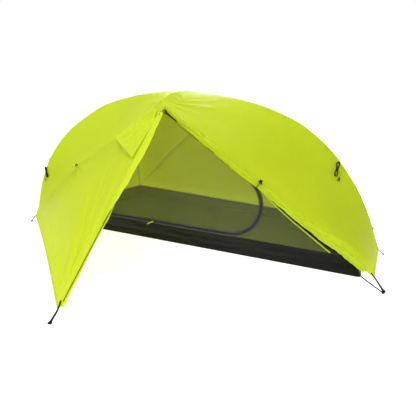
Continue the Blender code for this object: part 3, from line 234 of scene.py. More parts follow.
def wearGroup():
    # uneven tone and a little dust in large and small spots
    tree, w, given, out = newGroup("toneAndDust", [
        ("Place", "NodeSocketVector", None), ("Scale", "NodeSocketFloat", 3.0),
        ("Contrast", "NodeSocketFloat", 0.5)],
                                   [("Tone", "NodeSocketFloat"), ("Specks", "NodeSocketFloat")])
    large = w.node("ShaderNodeTexNoise",
                   {"Vector": given["Place"], "Scale": given["Scale"], "Detail": 4.0}).outputs[0]
    small = w.node("ShaderNodeTexNoise", {"Vector": given["Place"], "Scale": w.times(given["Scale"], 60.0),
                                          "Detail": 2.0}).outputs[0]
    centred = w.times(w.minus(large, 0.5), given["Contrast"])
    w.feed(out["Tone"], w.plus(centred, 0.5))
    w.feed(out["Specks"],
           w.node("ShaderNodeMapRange", {"Value": small, "From Min": 0.62, "From Max": 0.8}).outputs[0])
    return tree


ripstopWeave = ripstopGroup()
clothCreases = creaseGroup()
toneAndDust = wearGroup()


def placedGroup(w, group, **values):
    made = w.node("ShaderNodeGroup", node_tree=group)
    for name, value in values.items():
        w.feed(made.inputs[name.replace("_", " ")], value)
    return made.outputs


def startMaterial(name, colour):
    made = bpy.data.materials.new(name)
    made.use_nodes = True
    made.diffuse_color = (*colour, 1.0)
    w = Wiring(made.node_tree)
    shader = made.node_tree.nodes["Principled BSDF"]
    output = made.node_tree.nodes["Material Output"]
    place = w.node("ShaderNodeTexCoord").outputs["Object"]
    cloth = w.node("ShaderNodeUVMap", uv_map="cloth").outputs[0]
    return made, w, shader, output, place, cloth


def mixColours(w, factor, a, b):
    made = w.node("ShaderNodeMix", data_type="RGBA")
    w.feed(made.inputs[0], factor)
    w.feed(made.inputs[6], (*a, 1.0) if isinstance(a, tuple) else a)
    w.feed(made.inputs[7], (*b, 1.0) if isinstance(b, tuple) else b)
    return made.outputs[2]


limeLook = {"light": (0.68, 0.79, 0.020), "deep": (0.56, 0.67, 0.012), "through": (0.93, 0.98, 0.020),
            "throughShare": 0.54, "rough": 0.38, "grid": 0.006, "creases": 0.007}


def limeCloth(name, creaseScale=7.0, creaseDepth=1.0, paintedBrightness=1.0):
    # thin coated nylon that lets light through
    # paintedBrightness scales the colour up for painted highlights and down for painted shade, on copies of
    # the same lime nylon
    light = tuple(min(c * paintedBrightness, 1.0) for c in limeLook["light"])
    made, w, shader, output, place, cloth = startMaterial(name, light)
    weave = placedGroup(w, ripstopWeave, Cloth=cloth, Grid=limeLook["grid"])
    folds = placedGroup(w, clothCreases, Place=place, Scale=creaseScale)
    wear = placedGroup(w, toneAndDust, Place=place, Scale=2.2, Contrast=1.4)
    tone = mixColours(w, wear["Tone"], tuple(c * paintedBrightness for c in limeLook["deep"]), light)
    tone = mixColours(w, w.times(weave["Grid Lines"], 0.10), tone, light)
    w.feed(shader.inputs["Base Color"], tone)
    w.feed(shader.inputs["Roughness"], w.plus(limeLook["rough"] - 0.06, w.times(folds["Patches"], 0.12)))
    shader.inputs["Specular IOR Level"].default_value = 0.35
    bumps = w.node("ShaderNodeBump", {"Strength": 0.5, "Distance": limeLook["creases"] * creaseDepth,
                                      "Height": folds["Height"]})
    threads = w.node("ShaderNodeBump", {"Strength": 0.25, "Distance": 0.0001, "Height": weave["Height"],
                                        "Normal": bumps.outputs[0]})
    w.feed(shader.inputs["Normal"], threads.outputs[0])
    through = w.node("ShaderNodeBsdfTranslucent",
                     {"Color": (*limeLook["through"], 1.0), "Normal": bumps.outputs[0]})
    mixed = w.node("ShaderNodeMixShader",
                   {0: limeLook["throughShare"], 1: shader.outputs[0], 2: through.outputs[0]})
    w.feed(output.inputs[0], mixed.outputs[0])
    return made


netLook = {"colour": (0.30, 0.33, 0.12), "dark": (0.23, 0.26, 0.08), "cover": 0.20, "cell": 0.0012}


def netCloth(name, cover=None):
    # fine net: threads with gaps that are far smaller than a pixel
    made, w, shader, output, place, cloth = startMaterial(name, netLook["colour"])
    wear = placedGroup(w, toneAndDust, Place=place, Scale=4.0, Contrast=1.0)
    net = placedGroup(w, ripstopWeave, Cloth=cloth, Grid=netLook["cell"], Grid_Width=netLook["cell"] * 0.2,
                      Threads=400.0)
    w.feed(shader.inputs["Base Color"], mixColours(w, wear["Tone"], netLook["dark"], netLook["colour"]))
    w.feed(shader.inputs["Roughness"], w.plus(0.7, w.times(wear["Specks"], 0.2)))
    share = netLook["cover"] if cover is None else cover
    alpha = w.plus(share - 0.06, w.times(net["Grid Lines"], 0.16))
    w.feed(shader.inputs["Alpha"], alpha)
    shader.inputs["Specular IOR Level"].default_value = 0.2
    bumps = w.node("ShaderNodeBump", {"Strength": 0.15, "Distance": 0.0001, "Height": net["Height"]})
    w.feed(shader.inputs["Normal"], bumps.outputs[0])
    return made


floorLook = {"light": (0.0062, 0.0070, 0.0038), "deep": (0.0022, 0.0026, 0.0012), "rough": 0.44}


def coatedCloth(name):
    # black coated floor cloth with a soft sheen
    made, w, shader, output, place, cloth = startMaterial(name, floorLook["light"])
    weave = placedGroup(w, ripstopWeave, Cloth=cloth, Grid=0.005, Threads=700.0)
    folds = placedGroup(w, clothCreases, Place=place, Scale=11.0)
    wear = placedGroup(w, toneAndDust, Place=place, Scale=3.0, Contrast=1.3)
    w.feed(shader.inputs["Base Color"], mixColours(w, wear["Tone"], floorLook["deep"], floorLook["light"]))
    w.feed(shader.inputs["Roughness"], w.plus(floorLook["rough"] - 0.08, w.times(folds["Patches"], 0.2)))
    shader.inputs["Specular IOR Level"].default_value = 0.24
    shader.inputs["Sheen Weight"].default_value = 0.03
    shader.inputs["Sheen Roughness"].default_value = 0.4
    bumps = w.node("ShaderNodeBump", {"Strength": 0.6, "Distance": 0.006, "Height": folds["Height"]})
    threads = w.node("ShaderNodeBump", {"Strength": 0.3, "Distance": 0.0001, "Height": weave["Height"],
                                        "Normal": bumps.outputs[0]})
    w.feed(shader.inputs["Normal"], threads.outputs[0])
    return made


def wovenBand(name, light, deep, rough=0.75, ribs=600.0, ownMap=True):
    # webbing, tape and cord: a plain rib weave on the piece's own UV map, or on its place where it has none
    made, w, shader, output, place, cloth = startMaterial(name, light)
    split = w.node("ShaderNodeSeparateXYZ", {0: cloth if ownMap else place}).outputs
    along = w.math("SINE", w.times(split[1], ribs * 2 * math.pi))
    across = w.math("SINE", w.times(split[0], ribs * 0.8 * 2 * math.pi))
    rib = w.times(w.plus(w.times(along, across), 1.0), 0.5)
    wear = placedGroup(w, toneAndDust, Place=place, Scale=9.0, Contrast=1.2)
    tone = mixColours(w, w.times(rib, wear["Tone"]), deep, light)
    w.feed(shader.inputs["Base Color"], tone)
    w.feed(shader.inputs["Roughness"], w.plus(rough, w.times(rib, 0.1)))
    shader.inputs["Specular IOR Level"].default_value = 0.3
    bumps = w.node("ShaderNodeBump", {"Strength": 0.6, "Distance": 0.0003, "Height": rib})
    w.feed(shader.inputs["Normal"], bumps.outputs[0])
    return made


def hardMaterial(name, light, deep, rough, metallic=0.0, grain=60.0):
    # moulded plastic or anodised metal with fine grain and light scuffs
    made, w, shader, output, place, cloth = startMaterial(name, light)
    wear = placedGroup(w, toneAndDust, Place=place, Scale=grain, Contrast=1.2)
    w.feed(shader.inputs["Base Color"], mixColours(w, wear["Tone"], deep, light))
    w.feed(shader.inputs["Roughness"], w.plus(rough, w.times(wear["Specks"], 0.15)))
    shader.inputs["Metallic"].default_value = metallic
    bumps = w.node("ShaderNodeBump", {"Strength": 0.2, "Distance": 0.0002, "Height": wear["Tone"]})
    w.feed(shader.inputs["Normal"], bumps.outputs[0])
    return made


flyCloth = limeCloth("flyCloth")
# the vestibule cloth is darkened as painted shade; the hood, roll and binding cloth are brightened as painted
# highlights
vestibuleCloth = limeCloth("vestibuleCloth", 9.0, 1.3, 0.93)
hoodCloth = limeCloth("hoodCloth", 16.0, 1.2, 1.10)
rollCloth = limeCloth("rollCloth", 22.0, 1.0, 1.10)
bindingCloth = limeCloth("bindingCloth", 30.0, 0.3, 1.12)
innerNet = netCloth("innerNet")
tubCloth = coatedCloth("tubCloth")
blackWebbing = wovenBand("blackWebbing", (0.020, 0.020, 0.020), (0.006, 0.006, 0.006))
blackCord = wovenBand("blackCord", (0.022, 0.022, 0.021), (0.006, 0.006, 0.006), 0.8, 900.0)
greyTape = wovenBand("greyTape", (0.085, 0.088, 0.080), (0.045, 0.048, 0.043), 0.7)
blackCoil = hardMaterial("blackCoil", (0.016, 0.016, 0.016), (0.006, 0.006, 0.006), 0.45)
blackPlastic = hardMaterial("blackPlastic", (0.020, 0.020, 0.020), (0.009, 0.009, 0.009), 0.40)
sliderMetal = hardMaterial("sliderMetal", (0.030, 0.030, 0.032), (0.015, 0.015, 0.016), 0.35, 0.6)
limeTab = wovenBand("limeTab", (0.60, 0.75, 0.03), (0.45, 0.58, 0.02))
poleAlloy = hardMaterial("poleAlloy", (0.48, 0.49, 0.50), (0.36, 0.37, 0.38), 0.28, 0.9, 25.0)
tipAlloy = hardMaterial("tipAlloy", (0.55, 0.56, 0.57), (0.42, 0.43, 0.44), 0.32, 0.9, 25.0)
shockCord = wovenBand("shockCord", (0.30, 0.30, 0.30), (0.18, 0.18, 0.18), 0.8, 900.0, False)
stitchThread = wovenBand("stitchThread", (0.50, 0.62, 0.03), (0.38, 0.50, 0.02), 0.6, 1500.0, False)
tieWebbing = wovenBand("tieWebbing", (0.020, 0.020, 0.020), (0.006, 0.006, 0.006), 0.75, 500.0, False)
tieCord = wovenBand("tieCord", (0.018, 0.018, 0.017), (0.006, 0.006, 0.006), 0.8, 900.0, False)
shadeSheetCloth = coatedCloth("shadeSheetCloth")
netBinding = wovenBand("netBinding", (0.33, 0.39, 0.07), (0.25, 0.30, 0.05), 0.7)
limePiping = wovenBand("limePiping", (0.66, 0.78, 0.02), (0.52, 0.64, 0.015), 0.6)
print("materials ready")


# Meshes
def makeMesh(name, points, faces, material, uvs=None, sharp=None):
    data = bpy.data.meshes.new(name)
    data.from_pydata([tuple(p) for p in np.asarray(points, float)], [], faces)
    if uvs is not None:
        layer = data.uv_layers.new(name="cloth")
        layer.data.foreach_set("uv", np.asarray(uvs, np.float32).ravel())
    data.polygons.foreach_set("use_smooth", [True] * len(data.polygons))
    if sharp:
        data.set_sharp_from_angle(angle=math.radians(sharp))
    data.materials.append(material)
    made = bpy.data.objects.new(name, data)
    bpy.context.scene.collection.objects.link(made)
    return made


def gridParts(rows):
    # vertices, faces and UVs in metres for a grid of points
    rows = np.asarray(rows, float)
    n, m = rows.shape[:2]
    across = np.concatenate([np.zeros((n, 1)),
                             np.cumsum(np.linalg.norm(np.diff(rows, axis=1), axis=2), axis=1)], axis=1)
    middle = rows[:, m // 2]
    along = np.tile(lengths(middle)[:, None], (1, m))
    index = np.arange(n * m).reshape(n, m)
    quads = np.stack([index[:-1, :-1], index[1:, :-1], index[1:, 1:], index[:-1, 1:]], axis=-1).reshape(-1, 4)
    flat = np.stack([across, along], axis=-1).reshape(-1, 2)
    return rows.reshape(-1, 3), quads.tolist(), flat[quads.ravel()]


def joinedMesh(name, parts, material):
    # one mesh from several lists of points, faces and UVs
    points, faces, uvs, base = [], [], [], 0
    for p, f, u in parts:
        points.append(p)
        faces += [[i + base for i in face] for face in f]
        uvs.append(u)
        base += len(p)
    return makeMesh(name, np.concatenate(points), faces, material, np.concatenate(uvs))


def turnedOut(made, outward=None, weld=0.0):
    # makes the faces agree, and turns them round if the measure of how far they face out is below zero
    work = bmesh.new()
    work.from_mesh(made.data)
    if weld:
        bmesh.ops.remove_doubles(work, verts=work.verts, dist=weld)
    bmesh.ops.recalc_face_normals(work, faces=work.faces)
    if outward and outward(work.faces) < 0:
        bmesh.ops.reverse_faces(work, faces=work.faces)
    work.to_mesh(made.data)
    work.free()
    return made


weldDistance = 2e-5
insideTent = (0, 0, 0.3)


def joinedGrids(name, grids, material, centre=insideTent):
    # one mesh from several grids, welded where their edges meet, facing away from the centre
    def outward(faces):
        return sum(f.calc_area() * f.normal.dot(f.calc_center_median() - Vector(centre)) for f in faces)

    made = joinedMesh(name, [gridParts(rows) for rows in grids], material)
    return turnedOut(made, outward, weldDistance)


def meshPoints(made):
    points = np.empty(len(made.data.vertices) * 3)
    made.data.vertices.foreach_get("co", points)
    normals = np.empty(len(made.data.vertices) * 3)
    made.data.vertices.foreach_get("normal", normals)
    return points.reshape(-1, 3), normals.reshape(-1, 3)


def shiftPoints(made, offsets):
    # moves each vertex along its normal
    points, normals = meshPoints(made)
    points += normals * np.asarray(offsets)[:, None]
    made.data.vertices.foreach_set("co", points.ravel())
    made.data.update()


def applied(made):
    # bakes the modifiers into a plain mesh
    bpy.context.view_layer.update()
    graph = bpy.context.evaluated_depsgraph_get()
    mesh = bpy.data.meshes.new_from_object(made.evaluated_get(graph))
    made.modifiers.clear()
    made.data = mesh
    return made


def thickened(made, thickness, offset=0.0, sharp=50):
    wall = made.modifiers.new("wall", "SOLIDIFY")
    wall.thickness = thickness
    wall.offset = offset
    applied(made)
    made.data.set_sharp_from_angle(angle=math.radians(sharp))
    return made


def carriedUps(path, first):
    # a direction carried along a path without twist
    tangents = unit(np.gradient(path, axis=0))
    up = unit(first - tangents[0] * (np.asarray(first) @ tangents[0]))
    ups = [up]
    for tangent in tangents[1:]:
        up = unit(up - tangent * (up @ tangent))
        ups.append(up)
    return np.array(ups)


def sweepParts(path, profile, ups=None, scales=None, first=(0.13, 0.21, 0.97)):
    # a closed profile carried along a path, with flat ends
    path = np.asarray(path, float)
    profile = np.asarray(profile, float)
    n, m = len(path), len(profile)
    tangents = unit(np.gradient(path, axis=0))
    if ups is None:
        ups = carriedUps(path, np.array(first))
    else:
        ups = np.broadcast_to(np.asarray(ups, float), (n, 3))
    sides = unit(np.cross(tangents, ups))
    ups = np.cross(sides, tangents)
    scales = np.ones((n, 2)) if scales is None else np.asarray(scales, float)
    rows = path[:, None] + sides[:, None] * (profile[None, :, 0:1] * scales[:, None, 0:1])
    rows = rows + ups[:, None] * (profile[None, :, 1:2] * scales[:, None, 1:2])
    index = np.arange(n * m).reshape(n, m)
    turned = np.roll(index, -1, axis=1)
    quads = np.stack([index[:-1], turned[:-1], turned[1:], index[1:]], axis=-1).reshape(-1, 4)
    profileSides = np.linalg.norm(np.diff(profile, axis=0, append=profile[:1]), axis=1)
    around = np.concatenate([[0], np.cumsum(profileSides)])
    along = lengths(path)
    u = np.stack([np.tile(around[:-1], (n - 1, 1)), np.tile(around[1:], (n - 1, 1)),
                  np.tile(around[1:], (n - 1, 1)), np.tile(around[:-1], (n - 1, 1))], axis=-1)
    v = np.stack([np.tile(along[:-1, None], (1, m))] * 2 + [np.tile(along[1:, None], (1, m))] * 2, axis=-1)
    uvs = np.stack([u, v], axis=-1).reshape(-1, 2)
    faces = quads.tolist() + [index[0][::-1].tolist(), index[-1].tolist()]
    ends = np.concatenate([profile[::-1], profile + np.array([0, along[-1]])])
    return rows.reshape(-1, 3), faces, np.concatenate([uvs, ends])


def sweep(name, path, profile, material, ups=None, scales=None, sharp=40, first=(0.13, 0.21, 0.97)):
    return joinedParts(name, [sweepParts(path, profile, ups, scales, first)], material, sharp)


def joinedParts(name, parts, material, sharp=40):
    # several closed shapes as one object, with their faces turned outwards
    made = turnedOut(joinedMesh(name, parts, material))
    made.data.set_sharp_from_angle(angle=math.radians(sharp))
    return made


def circle(radius, sides=10):
    turns = np.arange(sides) * 2 * math.pi / sides
    return np.stack([radius * np.cos(turns), radius * np.sin(turns)], axis=-1)


def band(width, thick, steps=3):
    # a flat band's profile with rounded sides
    points = []
    for side in (1, -1):
        for i in range(steps + 1):
            turn = math.pi * (i / steps - side / 2)
            points.append((side * (width - thick) / 2 + thick / 2 * math.cos(turn),
                           thick / 2 * math.sin(turn)))
    return np.array(points)


def ridden(made, body, slot, *nodes):
    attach(made, body)
    if nodes:
        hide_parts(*nodes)
    return made


# Geometry Nodes: stitches, zip teeth and tubes along lines
def lineCarrier(name, lines, girths=None):
    # a mesh of loose edges for the trees to follow
    points, edges, thick = [], [], []
    for k, line in enumerate(lines):
        start = len(points)
        points += [tuple(q) for q in line]
        edges += [(start + i, start + i + 1) for i in range(len(line) - 1)]
        thick += list(girths[k]) if girths else [0.001] * len(line)
    data = bpy.data.meshes.new(name)
    data.from_pydata(points, edges, [])
    data.attributes.new("girth", "FLOAT", "POINT").data.foreach_set("value", thick)
    carrier = bpy.data.objects.new(name, data)
    bpy.context.scene.collection.objects.link(carrier)
    return carrier


def treeEnd(w, geometry, material, out):
    # every tree ends in plain geometry with its material
    solid = w.node("GeometryNodeRealizeInstances", {0: geometry}).outputs[0]
    soft = w.node("GeometryNodeSetShadeSmooth", {0: solid}).outputs[0]
    w.feed(out["Geometry"], w.node("GeometryNodeSetMaterial", {0: soft, "Material": material}).outputs[0])


def beadsTree():
    # small rounded beads in one or two rows along the lines: stitches, or the teeth of a zip
    tree, w, given, out = newGroup("beadsAlongLine", [
        ("Geometry", "NodeSocketGeometry", None), ("Spacing", "NodeSocketFloat", 0.004),
        ("Length", "NodeSocketFloat", 0.003),
        ("Width", "NodeSocketFloat", 0.0007), ("Aside", "NodeSocketFloat", 0.0),
        ("Unevenness", "NodeSocketFloat", 0.1),
        ("Seed", "NodeSocketInt", 3), ("Material", "NodeSocketMaterial", None)],
                                   [("Geometry", "NodeSocketGeometry")],
                                   "GeometryNodeTree")
    line = w.node("GeometryNodeMeshToCurve", {0: given["Geometry"]}).outputs[0]
    even = w.node("GeometryNodeResampleCurve", {"Curve": line, "Length": given["Spacing"]},
                  mode="LENGTH").outputs[0]
    tangent = w.node("GeometryNodeInputTangent").outputs[0]
    turn = w.node("FunctionNodeAlignRotationToVector", {"Vector": tangent}, axis="X").outputs[0]
    order = w.node("GeometryNodeInputIndex").outputs[0]
    swing = w.minus(w.times(w.math("MODULO", order, 2.0), 2.0), 1.0)
    side = w.node("ShaderNodeVectorMath", {0: tangent, 1: (0.31, 0.42, 0.85)},
                  operation="CROSS_PRODUCT").outputs[0]
    side = w.node("ShaderNodeVectorMath", {0: side}, operation="NORMALIZE").outputs[0]
    shift = w.node("ShaderNodeVectorMath", {0: side, 3: w.times(swing, given["Aside"])},
                   operation="SCALE").outputs[0]
    moved = w.node("GeometryNodeSetPosition", {"Geometry": even, "Offset": shift}).outputs[0]
    bead = w.node("GeometryNodeMeshUVSphere", {"Segments": 8, "Rings": 4, "Radius": 0.5}).outputs[0]
    size = w.node("ShaderNodeCombineXYZ",
                  {0: given["Length"], 1: given["Width"], 2: given["Width"]}).outputs[0]
    shaped = w.node("GeometryNodeTransform", {"Geometry": bead, "Scale": size}).outputs[0]
    vary = w.node("FunctionNodeRandomValue", {2: w.minus(1.0, given["Unevenness"]), 3: 1.0, 8: given["Seed"]},
                  data_type="FLOAT").outputs[1]
    beads = w.node("GeometryNodeInstanceOnPoints",
                   {"Points": moved, "Instance": shaped, "Rotation": turn, "Scale": vary}).outputs[0]
    treeEnd(w, beads, given["Material"], out)
    return tree


def tubesTree():
    # round tubes whose radius follows the lines' own girth
    tree, w, given, out = newGroup("tubesAlongLine", [
        ("Geometry", "NodeSocketGeometry", None), ("Sides", "NodeSocketInt", 20),
        ("Thickness", "NodeSocketFloat", 1.0),
        ("Material", "NodeSocketMaterial", None)], [("Geometry", "NodeSocketGeometry")], "GeometryNodeTree")
    line = w.node("GeometryNodeMeshToCurve", {0: given["Geometry"]}).outputs[0]
    girth = w.node("GeometryNodeInputNamedAttribute", {"Name": "girth"}, data_type="FLOAT").outputs[0]
    sized = w.times(girth, given["Thickness"])
    outline = w.node("GeometryNodeCurvePrimitiveCircle",
                     {"Resolution": given["Sides"], "Radius": 1.0}).outputs[0]
    tube = w.node("GeometryNodeCurveToMesh",
                  {"Curve": line, "Profile Curve": outline, "Scale": sized, "Fill Caps": True}).outputs[0]
    treeEnd(w, tube, given["Material"], out)
    return tree


beadsAlongLine = beadsTree()
tubesAlongLine = tubesTree()


def grown(name, tree, lines, values, girths=None):
    # runs a tree on the lines and keeps the result as a plain mesh
    carrier = lineCarrier(name, lines, girths)
    grow = carrier.modifiers.new("grow", "NODES")
    grow.node_group = tree
    for item in tree.interface.items_tree:
        if item.in_out == "INPUT" and item.name in values:
            grow[item.identifier] = values[item.name]
    applied(carrier)
    carrier.data.name = name
    return carrier


# The tent's lines, as in the CAD source
tentSize = {
    "halfLength": 1.10, "headWidth": 1.00, "footWidth": 0.70, "tubHead": 0.12, "tubFoot": 0.09,
    "tubLean": 0.02, "tubFootLean": 0.036, "innerDrop": 0.035, "innerTipDrop": 0.045, "innerTipIn": 0.030,
    "peakHeight": 0.965, "hubHeight": 0.945, "peakX": -0.10, "hubX": -0.75,
    "footReach": 0.016, "poleFoot": 0.022, "crossHalf": 0.38, "crossTip": 0.888, "crossRise": 0.0092,
}
s = tentSize
floorHead = vec(-s["halfLength"], -s["headWidth"] / 2, 0)
floorFoot = vec(s["halfLength"], -s["footWidth"] / 2, 0)
footMiddle = vec(s["halfLength"] + s["footReach"], 0, s["poleFoot"])
legFoot = floorHead + unit(vec(-1, -1, 0)) * s["footReach"] * 1.4 + vec(0, 0, s["poleFoot"])
hub = vec(s["hubX"], 0, s["hubHeight"])
up = vec(0, 0, 1)

# shares of the run from the peak to the foot end and of the peak's height
ridgeBend = ((0.988, 0.13), (0.950, 0.265), (0.876, 0.441), (0.769, 0.608), (0.628, 0.766), (0.452, 0.873),
             (0.245, 0.946), (0.0, 1.0))
ridgeRun = footMiddle[0] - s["peakX"]
ridgePoints = [footMiddle] + [vec(s["peakX"] + ridgeRun * x, 0, s["peakHeight"] * z) for x, z in ridgeBend]
ridgePoints += [vec((s["peakX"] + s["hubX"]) / 2, 0, s["peakHeight"] * 1.012), hub]
ridgePath = smoothPath(ridgePoints, 36)
# shares of the plan distance from the hub to the corner and of the hub's height
legBend = ((0.185, 0.962), (0.345, 0.902), (0.485, 0.836), (0.605, 0.781), (0.720, 0.697), (0.810, 0.614),
           (0.868, 0.545), (0.930, 0.430), (0.986, 0.265), (1.000, 0.130))
legReach = legFoot[0] - s["hubX"]
legPoints = [hub] + [vec(s["hubX"] + legReach * out, legFoot[1] * out, s["hubHeight"] * z)
                     for out, z in legBend]
legPath = smoothPath(legPoints + [legFoot], 20)
crossTop = s["peakHeight"] + s["crossRise"]


def crossPoint(share):
    return vec(s["peakX"], s["crossHalf"] * share, crossTop - (crossTop - s["crossTip"]) * share * share)


def pushedOut(path, centre, gap, flare=0.0, power=1):
    # a pole's line moved outwards, more towards the ground
    tangents = unit(np.gradient(path, axis=0))
    out = path - centre
    out = unit(out - tangents * np.sum(out * tangents, axis=1, keepdims=True))
    share = np.clip(1 - path[:, 2] / path[:, 2].max(), 0, None) ** power
    return path + out * (gap + flare * share)[:, None]


flySize = {
    "ridgeGap": 0.023, "crossGap": 0.013, "footFlare": 0.055, "flareX": 0.100, "flareY": 0.130,
    "footOut": 0.050, "footHem": 0.030, "headCorner": 0.070, "footCorner": 0.040, "rearBow": 0.080,
    "rearSag": -0.012, "hemArch": 0.015, "apexOut": 0.861, "apexHeight": 0.050, "seamBulge": 0.065,
    "cloth": 0.0008, "rows": 120, "ridgeRows": 38, "across": 56, "rearAcross": 60, "headAcross": 44,
    "shoulderStand": 0.011, "shoulderX": 0.88, "shoulderWide": 0.17,
}
g = flySize
footCorner = floorFoot + vec(g["footOut"], -g["footOut"], g["footCorner"])
headCorner = floorHead + vec(-g["flareX"], -g["flareY"], g["headCorner"])
footHemMiddle = vec(footMiddle[0] + g["ridgeGap"] + g["footFlare"], 0, g["footHem"])
apex = vec(0, -(s["headWidth"] + s["footWidth"]) / 4 - g["apexOut"], g["apexHeight"])
flyTip = vec(s["peakX"], -s["crossHalf"] - g["crossGap"], s["crossTip"] + g["crossGap"])
flyPeak = vec(s["peakX"], 0, crossTop + g["crossGap"])
flyHub = hub + vec(-0.004, 0, g["ridgeGap"])

ridgeOuter = pushedOut(ridgePath, vec(s["peakX"], 0, 0.2), g["ridgeGap"], g["footFlare"], 4)
peakIndex = int(np.argmin(np.abs(ridgeOuter[:, 0] - s["peakX"])))
ridgeHalf = ridgeOuter[(peakIndex + 36) // 2]
flyRidgeFoot = smoothPath([flyPeak] + list(ridgeOuter[2:peakIndex - 2:3])[::-1] + [footHemMiddle], g["rows"])
# the cloth stands off the pole on the foot end's shoulder
shoulderAway = (flyRidgeFoot[:, 0] - g["shoulderX"]) / g["shoulderWide"]
shoulderRise = g["shoulderStand"] * np.exp(-shoulderAway ** 2)[:, None]
flyRidgeFoot = flyRidgeFoot + shoulderRise * unit(vec(1, 0, 1))
flyRidgeHead = smoothPath([flyPeak, ridgeHalf, flyHub], g["ridgeRows"])
legFlare = math.hypot(g["flareX"], g["flareY"]) - s["footReach"] * 1.4 - g["ridgeGap"]
legOuter = pushedOut(legPath, vec(s["hubX"] + 0.1, 0, 0.15), g["ridgeGap"], legFlare, 1.9)
flyLeg = smoothPath([flyHub] + list(legOuter[3:-2:3]) + [headCorner], g["rows"] - g["ridgeRows"])
headLine = np.concatenate([flyRidgeHead, flyLeg[1:]])
seamOut = unit(vec(-0.3, -0.75, 0.55))
seamShare = np.linspace(0, 1, g["rows"] + 1)
seamPush = g["seamBulge"] * np.sin(math.pi * seamShare ** 1.4) ** 1.5
seamLine = straight(flyTip, headCorner, g["rows"]) + seamPush[:, None] * seamOut
doorLine = straight(flyTip, footCorner, g["rows"])
crossLine = np.array([crossPoint(-1 + i / g["across"]) + vec(0, -g["crossGap"] * (1 - i / g["across"]),
                                                             g["crossGap"])
                      for i in range(g["across"] + 1)])
zipTop = flyTip + vec(0.036, -0.016, -0.034)
zipLine = straight(zipTop, apex, g["rows"])


tentMiddle = vec(s["peakX"], 0, insideTent[2])


def loft(low, high, across, startEdge=None, endEdge=None, startFade=4.0, endFade=2.0):
    # straight rulings between two lines, pulled to a shaped edge at either end
    share = np.linspace(0, 1, len(low))[:, None, None]
    t = np.linspace(0, 1, across + 1)[None, :, None]
    rows = low[:, None] * (1 - t) + high[:, None] * t
    if startEdge is not None:
        bow = startEdge - straight(startEdge[0], startEdge[-1], across)
        rows = rows + (1 - share) ** startFade * bow[None]
    if endEdge is not None:
        rows = rows + share ** endFade * (endEdge - straight(endEdge[0], endEdge[-1], across))[None]
    return rows


def hemLine(a, b, count, bow, arch):
    swell = np.sin(math.pi * np.linspace(0, 1, count + 1))[:, None]
    return straight(a, b, count) + (bow + vec(0, 0, arch)) * swell


def surfacePoint(rows, down, across):
    # the point of a panel at a share of its rows and of its columns
    i = min(int(down * (len(rows) - 1)), len(rows) - 2)
    j = min(int(across * (len(rows[0]) - 1)), len(rows[0]) - 2)
    partDown = down * (len(rows) - 1) - i
    partAcross = across * (len(rows[0]) - 1) - j
    near = rows[i][j] * (1 - partAcross) + rows[i][j + 1] * partAcross
    far = rows[i + 1][j] * (1 - partAcross) + rows[i + 1][j + 1] * partAcross
    return near * (1 - partDown) + far * partDown


def surfaceNormal(rows, down, across, step=0.02):
    centre = surfacePoint(rows, down, across)
    along = surfacePoint(rows, min(down + step, 1), across) - surfacePoint(rows, max(down - step, 0), across)
    side = surfacePoint(rows, down, min(across + step, 1)) - surfacePoint(rows, down, max(across - step, 0))
    return towards(unit(np.cross(along, side)), centre - tentMiddle)


frontRight = loft(doorLine, flyRidgeFoot, g["across"], startEdge=crossLine)
frontLeft = loft(seamLine, headLine, g["across"], startEdge=crossLine)
rearSeam = mirrored(seamLine)
rearDoorLine = mirrored(doorLine)
rearHem = hemLine(rearDoorLine[-1], rearSeam[-1], g["rearAcross"], vec(0, g["rearBow"], 0), g["rearSag"])
rearWall = loft(rearDoorLine, rearSeam, g["rearAcross"], endEdge=rearHem)
headHem = hemLine(headCorner, mirrored(headCorner), g["headAcross"], vec(-0.02, 0, 0), g["hemArch"])
headEnd = loft(flyLeg, mirrored(flyLeg), g["headAcross"], endEdge=headHem)


def foldsRound(points, centre, axisA, axisB, count, seed, wander=0.5):
    # folds that run out from a point, as a wave of the angle round it
    away = points - centre
    angle = np.arctan2(away @ axisB, away @ axisA)
    return np.sin(angle * count + seed + wander * noiseAt(points, 3.0, seed)), np.linalg.norm(away, axis=1)


def crest(wave, sharp=1.6):
    # turns an even wave into narrow crests with wide hollows
    return ((wave + 1) / 2) ** sharp * 2 - 1


def pucker(points, line, spacing, reach, seed):
    # small gathers beside a sewn line
    fine = evenly(line, 400)
    nearest = np.array([np.argmin(np.sum((fine - q) ** 2, axis=1)) for q in points])
    away = np.linalg.norm(fine[nearest] - points, axis=1)
    along = lengths(fine)[nearest]
    wave = np.sin(along / spacing * 2 * math.pi + 2.4 * noiseAt(points, 6.0, seed))
    return wave * ease(away, 0.0, 0.010) * (1 - ease(away, reach * 0.3, reach))


# Fly: one canopy of cloth over the frame
flyLookSet = {
    "hollow": 0.009, "waves": 0.0042, "ripples": 0.0014, "gathers": 0.0013, "tipFolds": 0.0030,
    "cornerFolds": 0.0040, "poleRise": 0.0045,
}
flyGrids = [frontRight, frontLeft, mirrored(frontRight), mirrored(frontLeft), rearWall, headEnd]
fly = joinedGrids("flyCanopy", flyGrids, flyCloth)
flyPoints = meshPoints(fly)[0]
frontEdges = np.concatenate([doorLine[::-8], seamLine[::8]])
seamFade = ease(distanceToPath(flyPoints, frontEdges), 0.0, 0.10)
seamFade *= ease(distanceToPath(flyPoints, mirrored(frontEdges)), 0.0, 0.05)
backFade = ease(distanceToPath(flyPoints, rearHem[::6]), 0.0, 0.05) * ease(flyPoints[:, 2], 0.03, 0.16)
crossWhole = np.concatenate([crossLine[::4], mirrored(crossLine)[::-4]])
poleLines = [flyRidgeFoot, flyRidgeHead, crossWhole, flyLeg, mirrored(flyLeg)]
nearPole = np.min([distanceToPath(flyPoints, line[::4]) for line in poleLines], axis=0)
relief = flyLookSet["waves"] * noiseAt(flyPoints, (3.1, 3.7, 3.4), 1)
relief += flyLookSet["ripples"] * noiseAt(flyPoints, 11.0, 2)
relief -= flyLookSet["hollow"] * ease(nearPole, 0.004, 0.16)
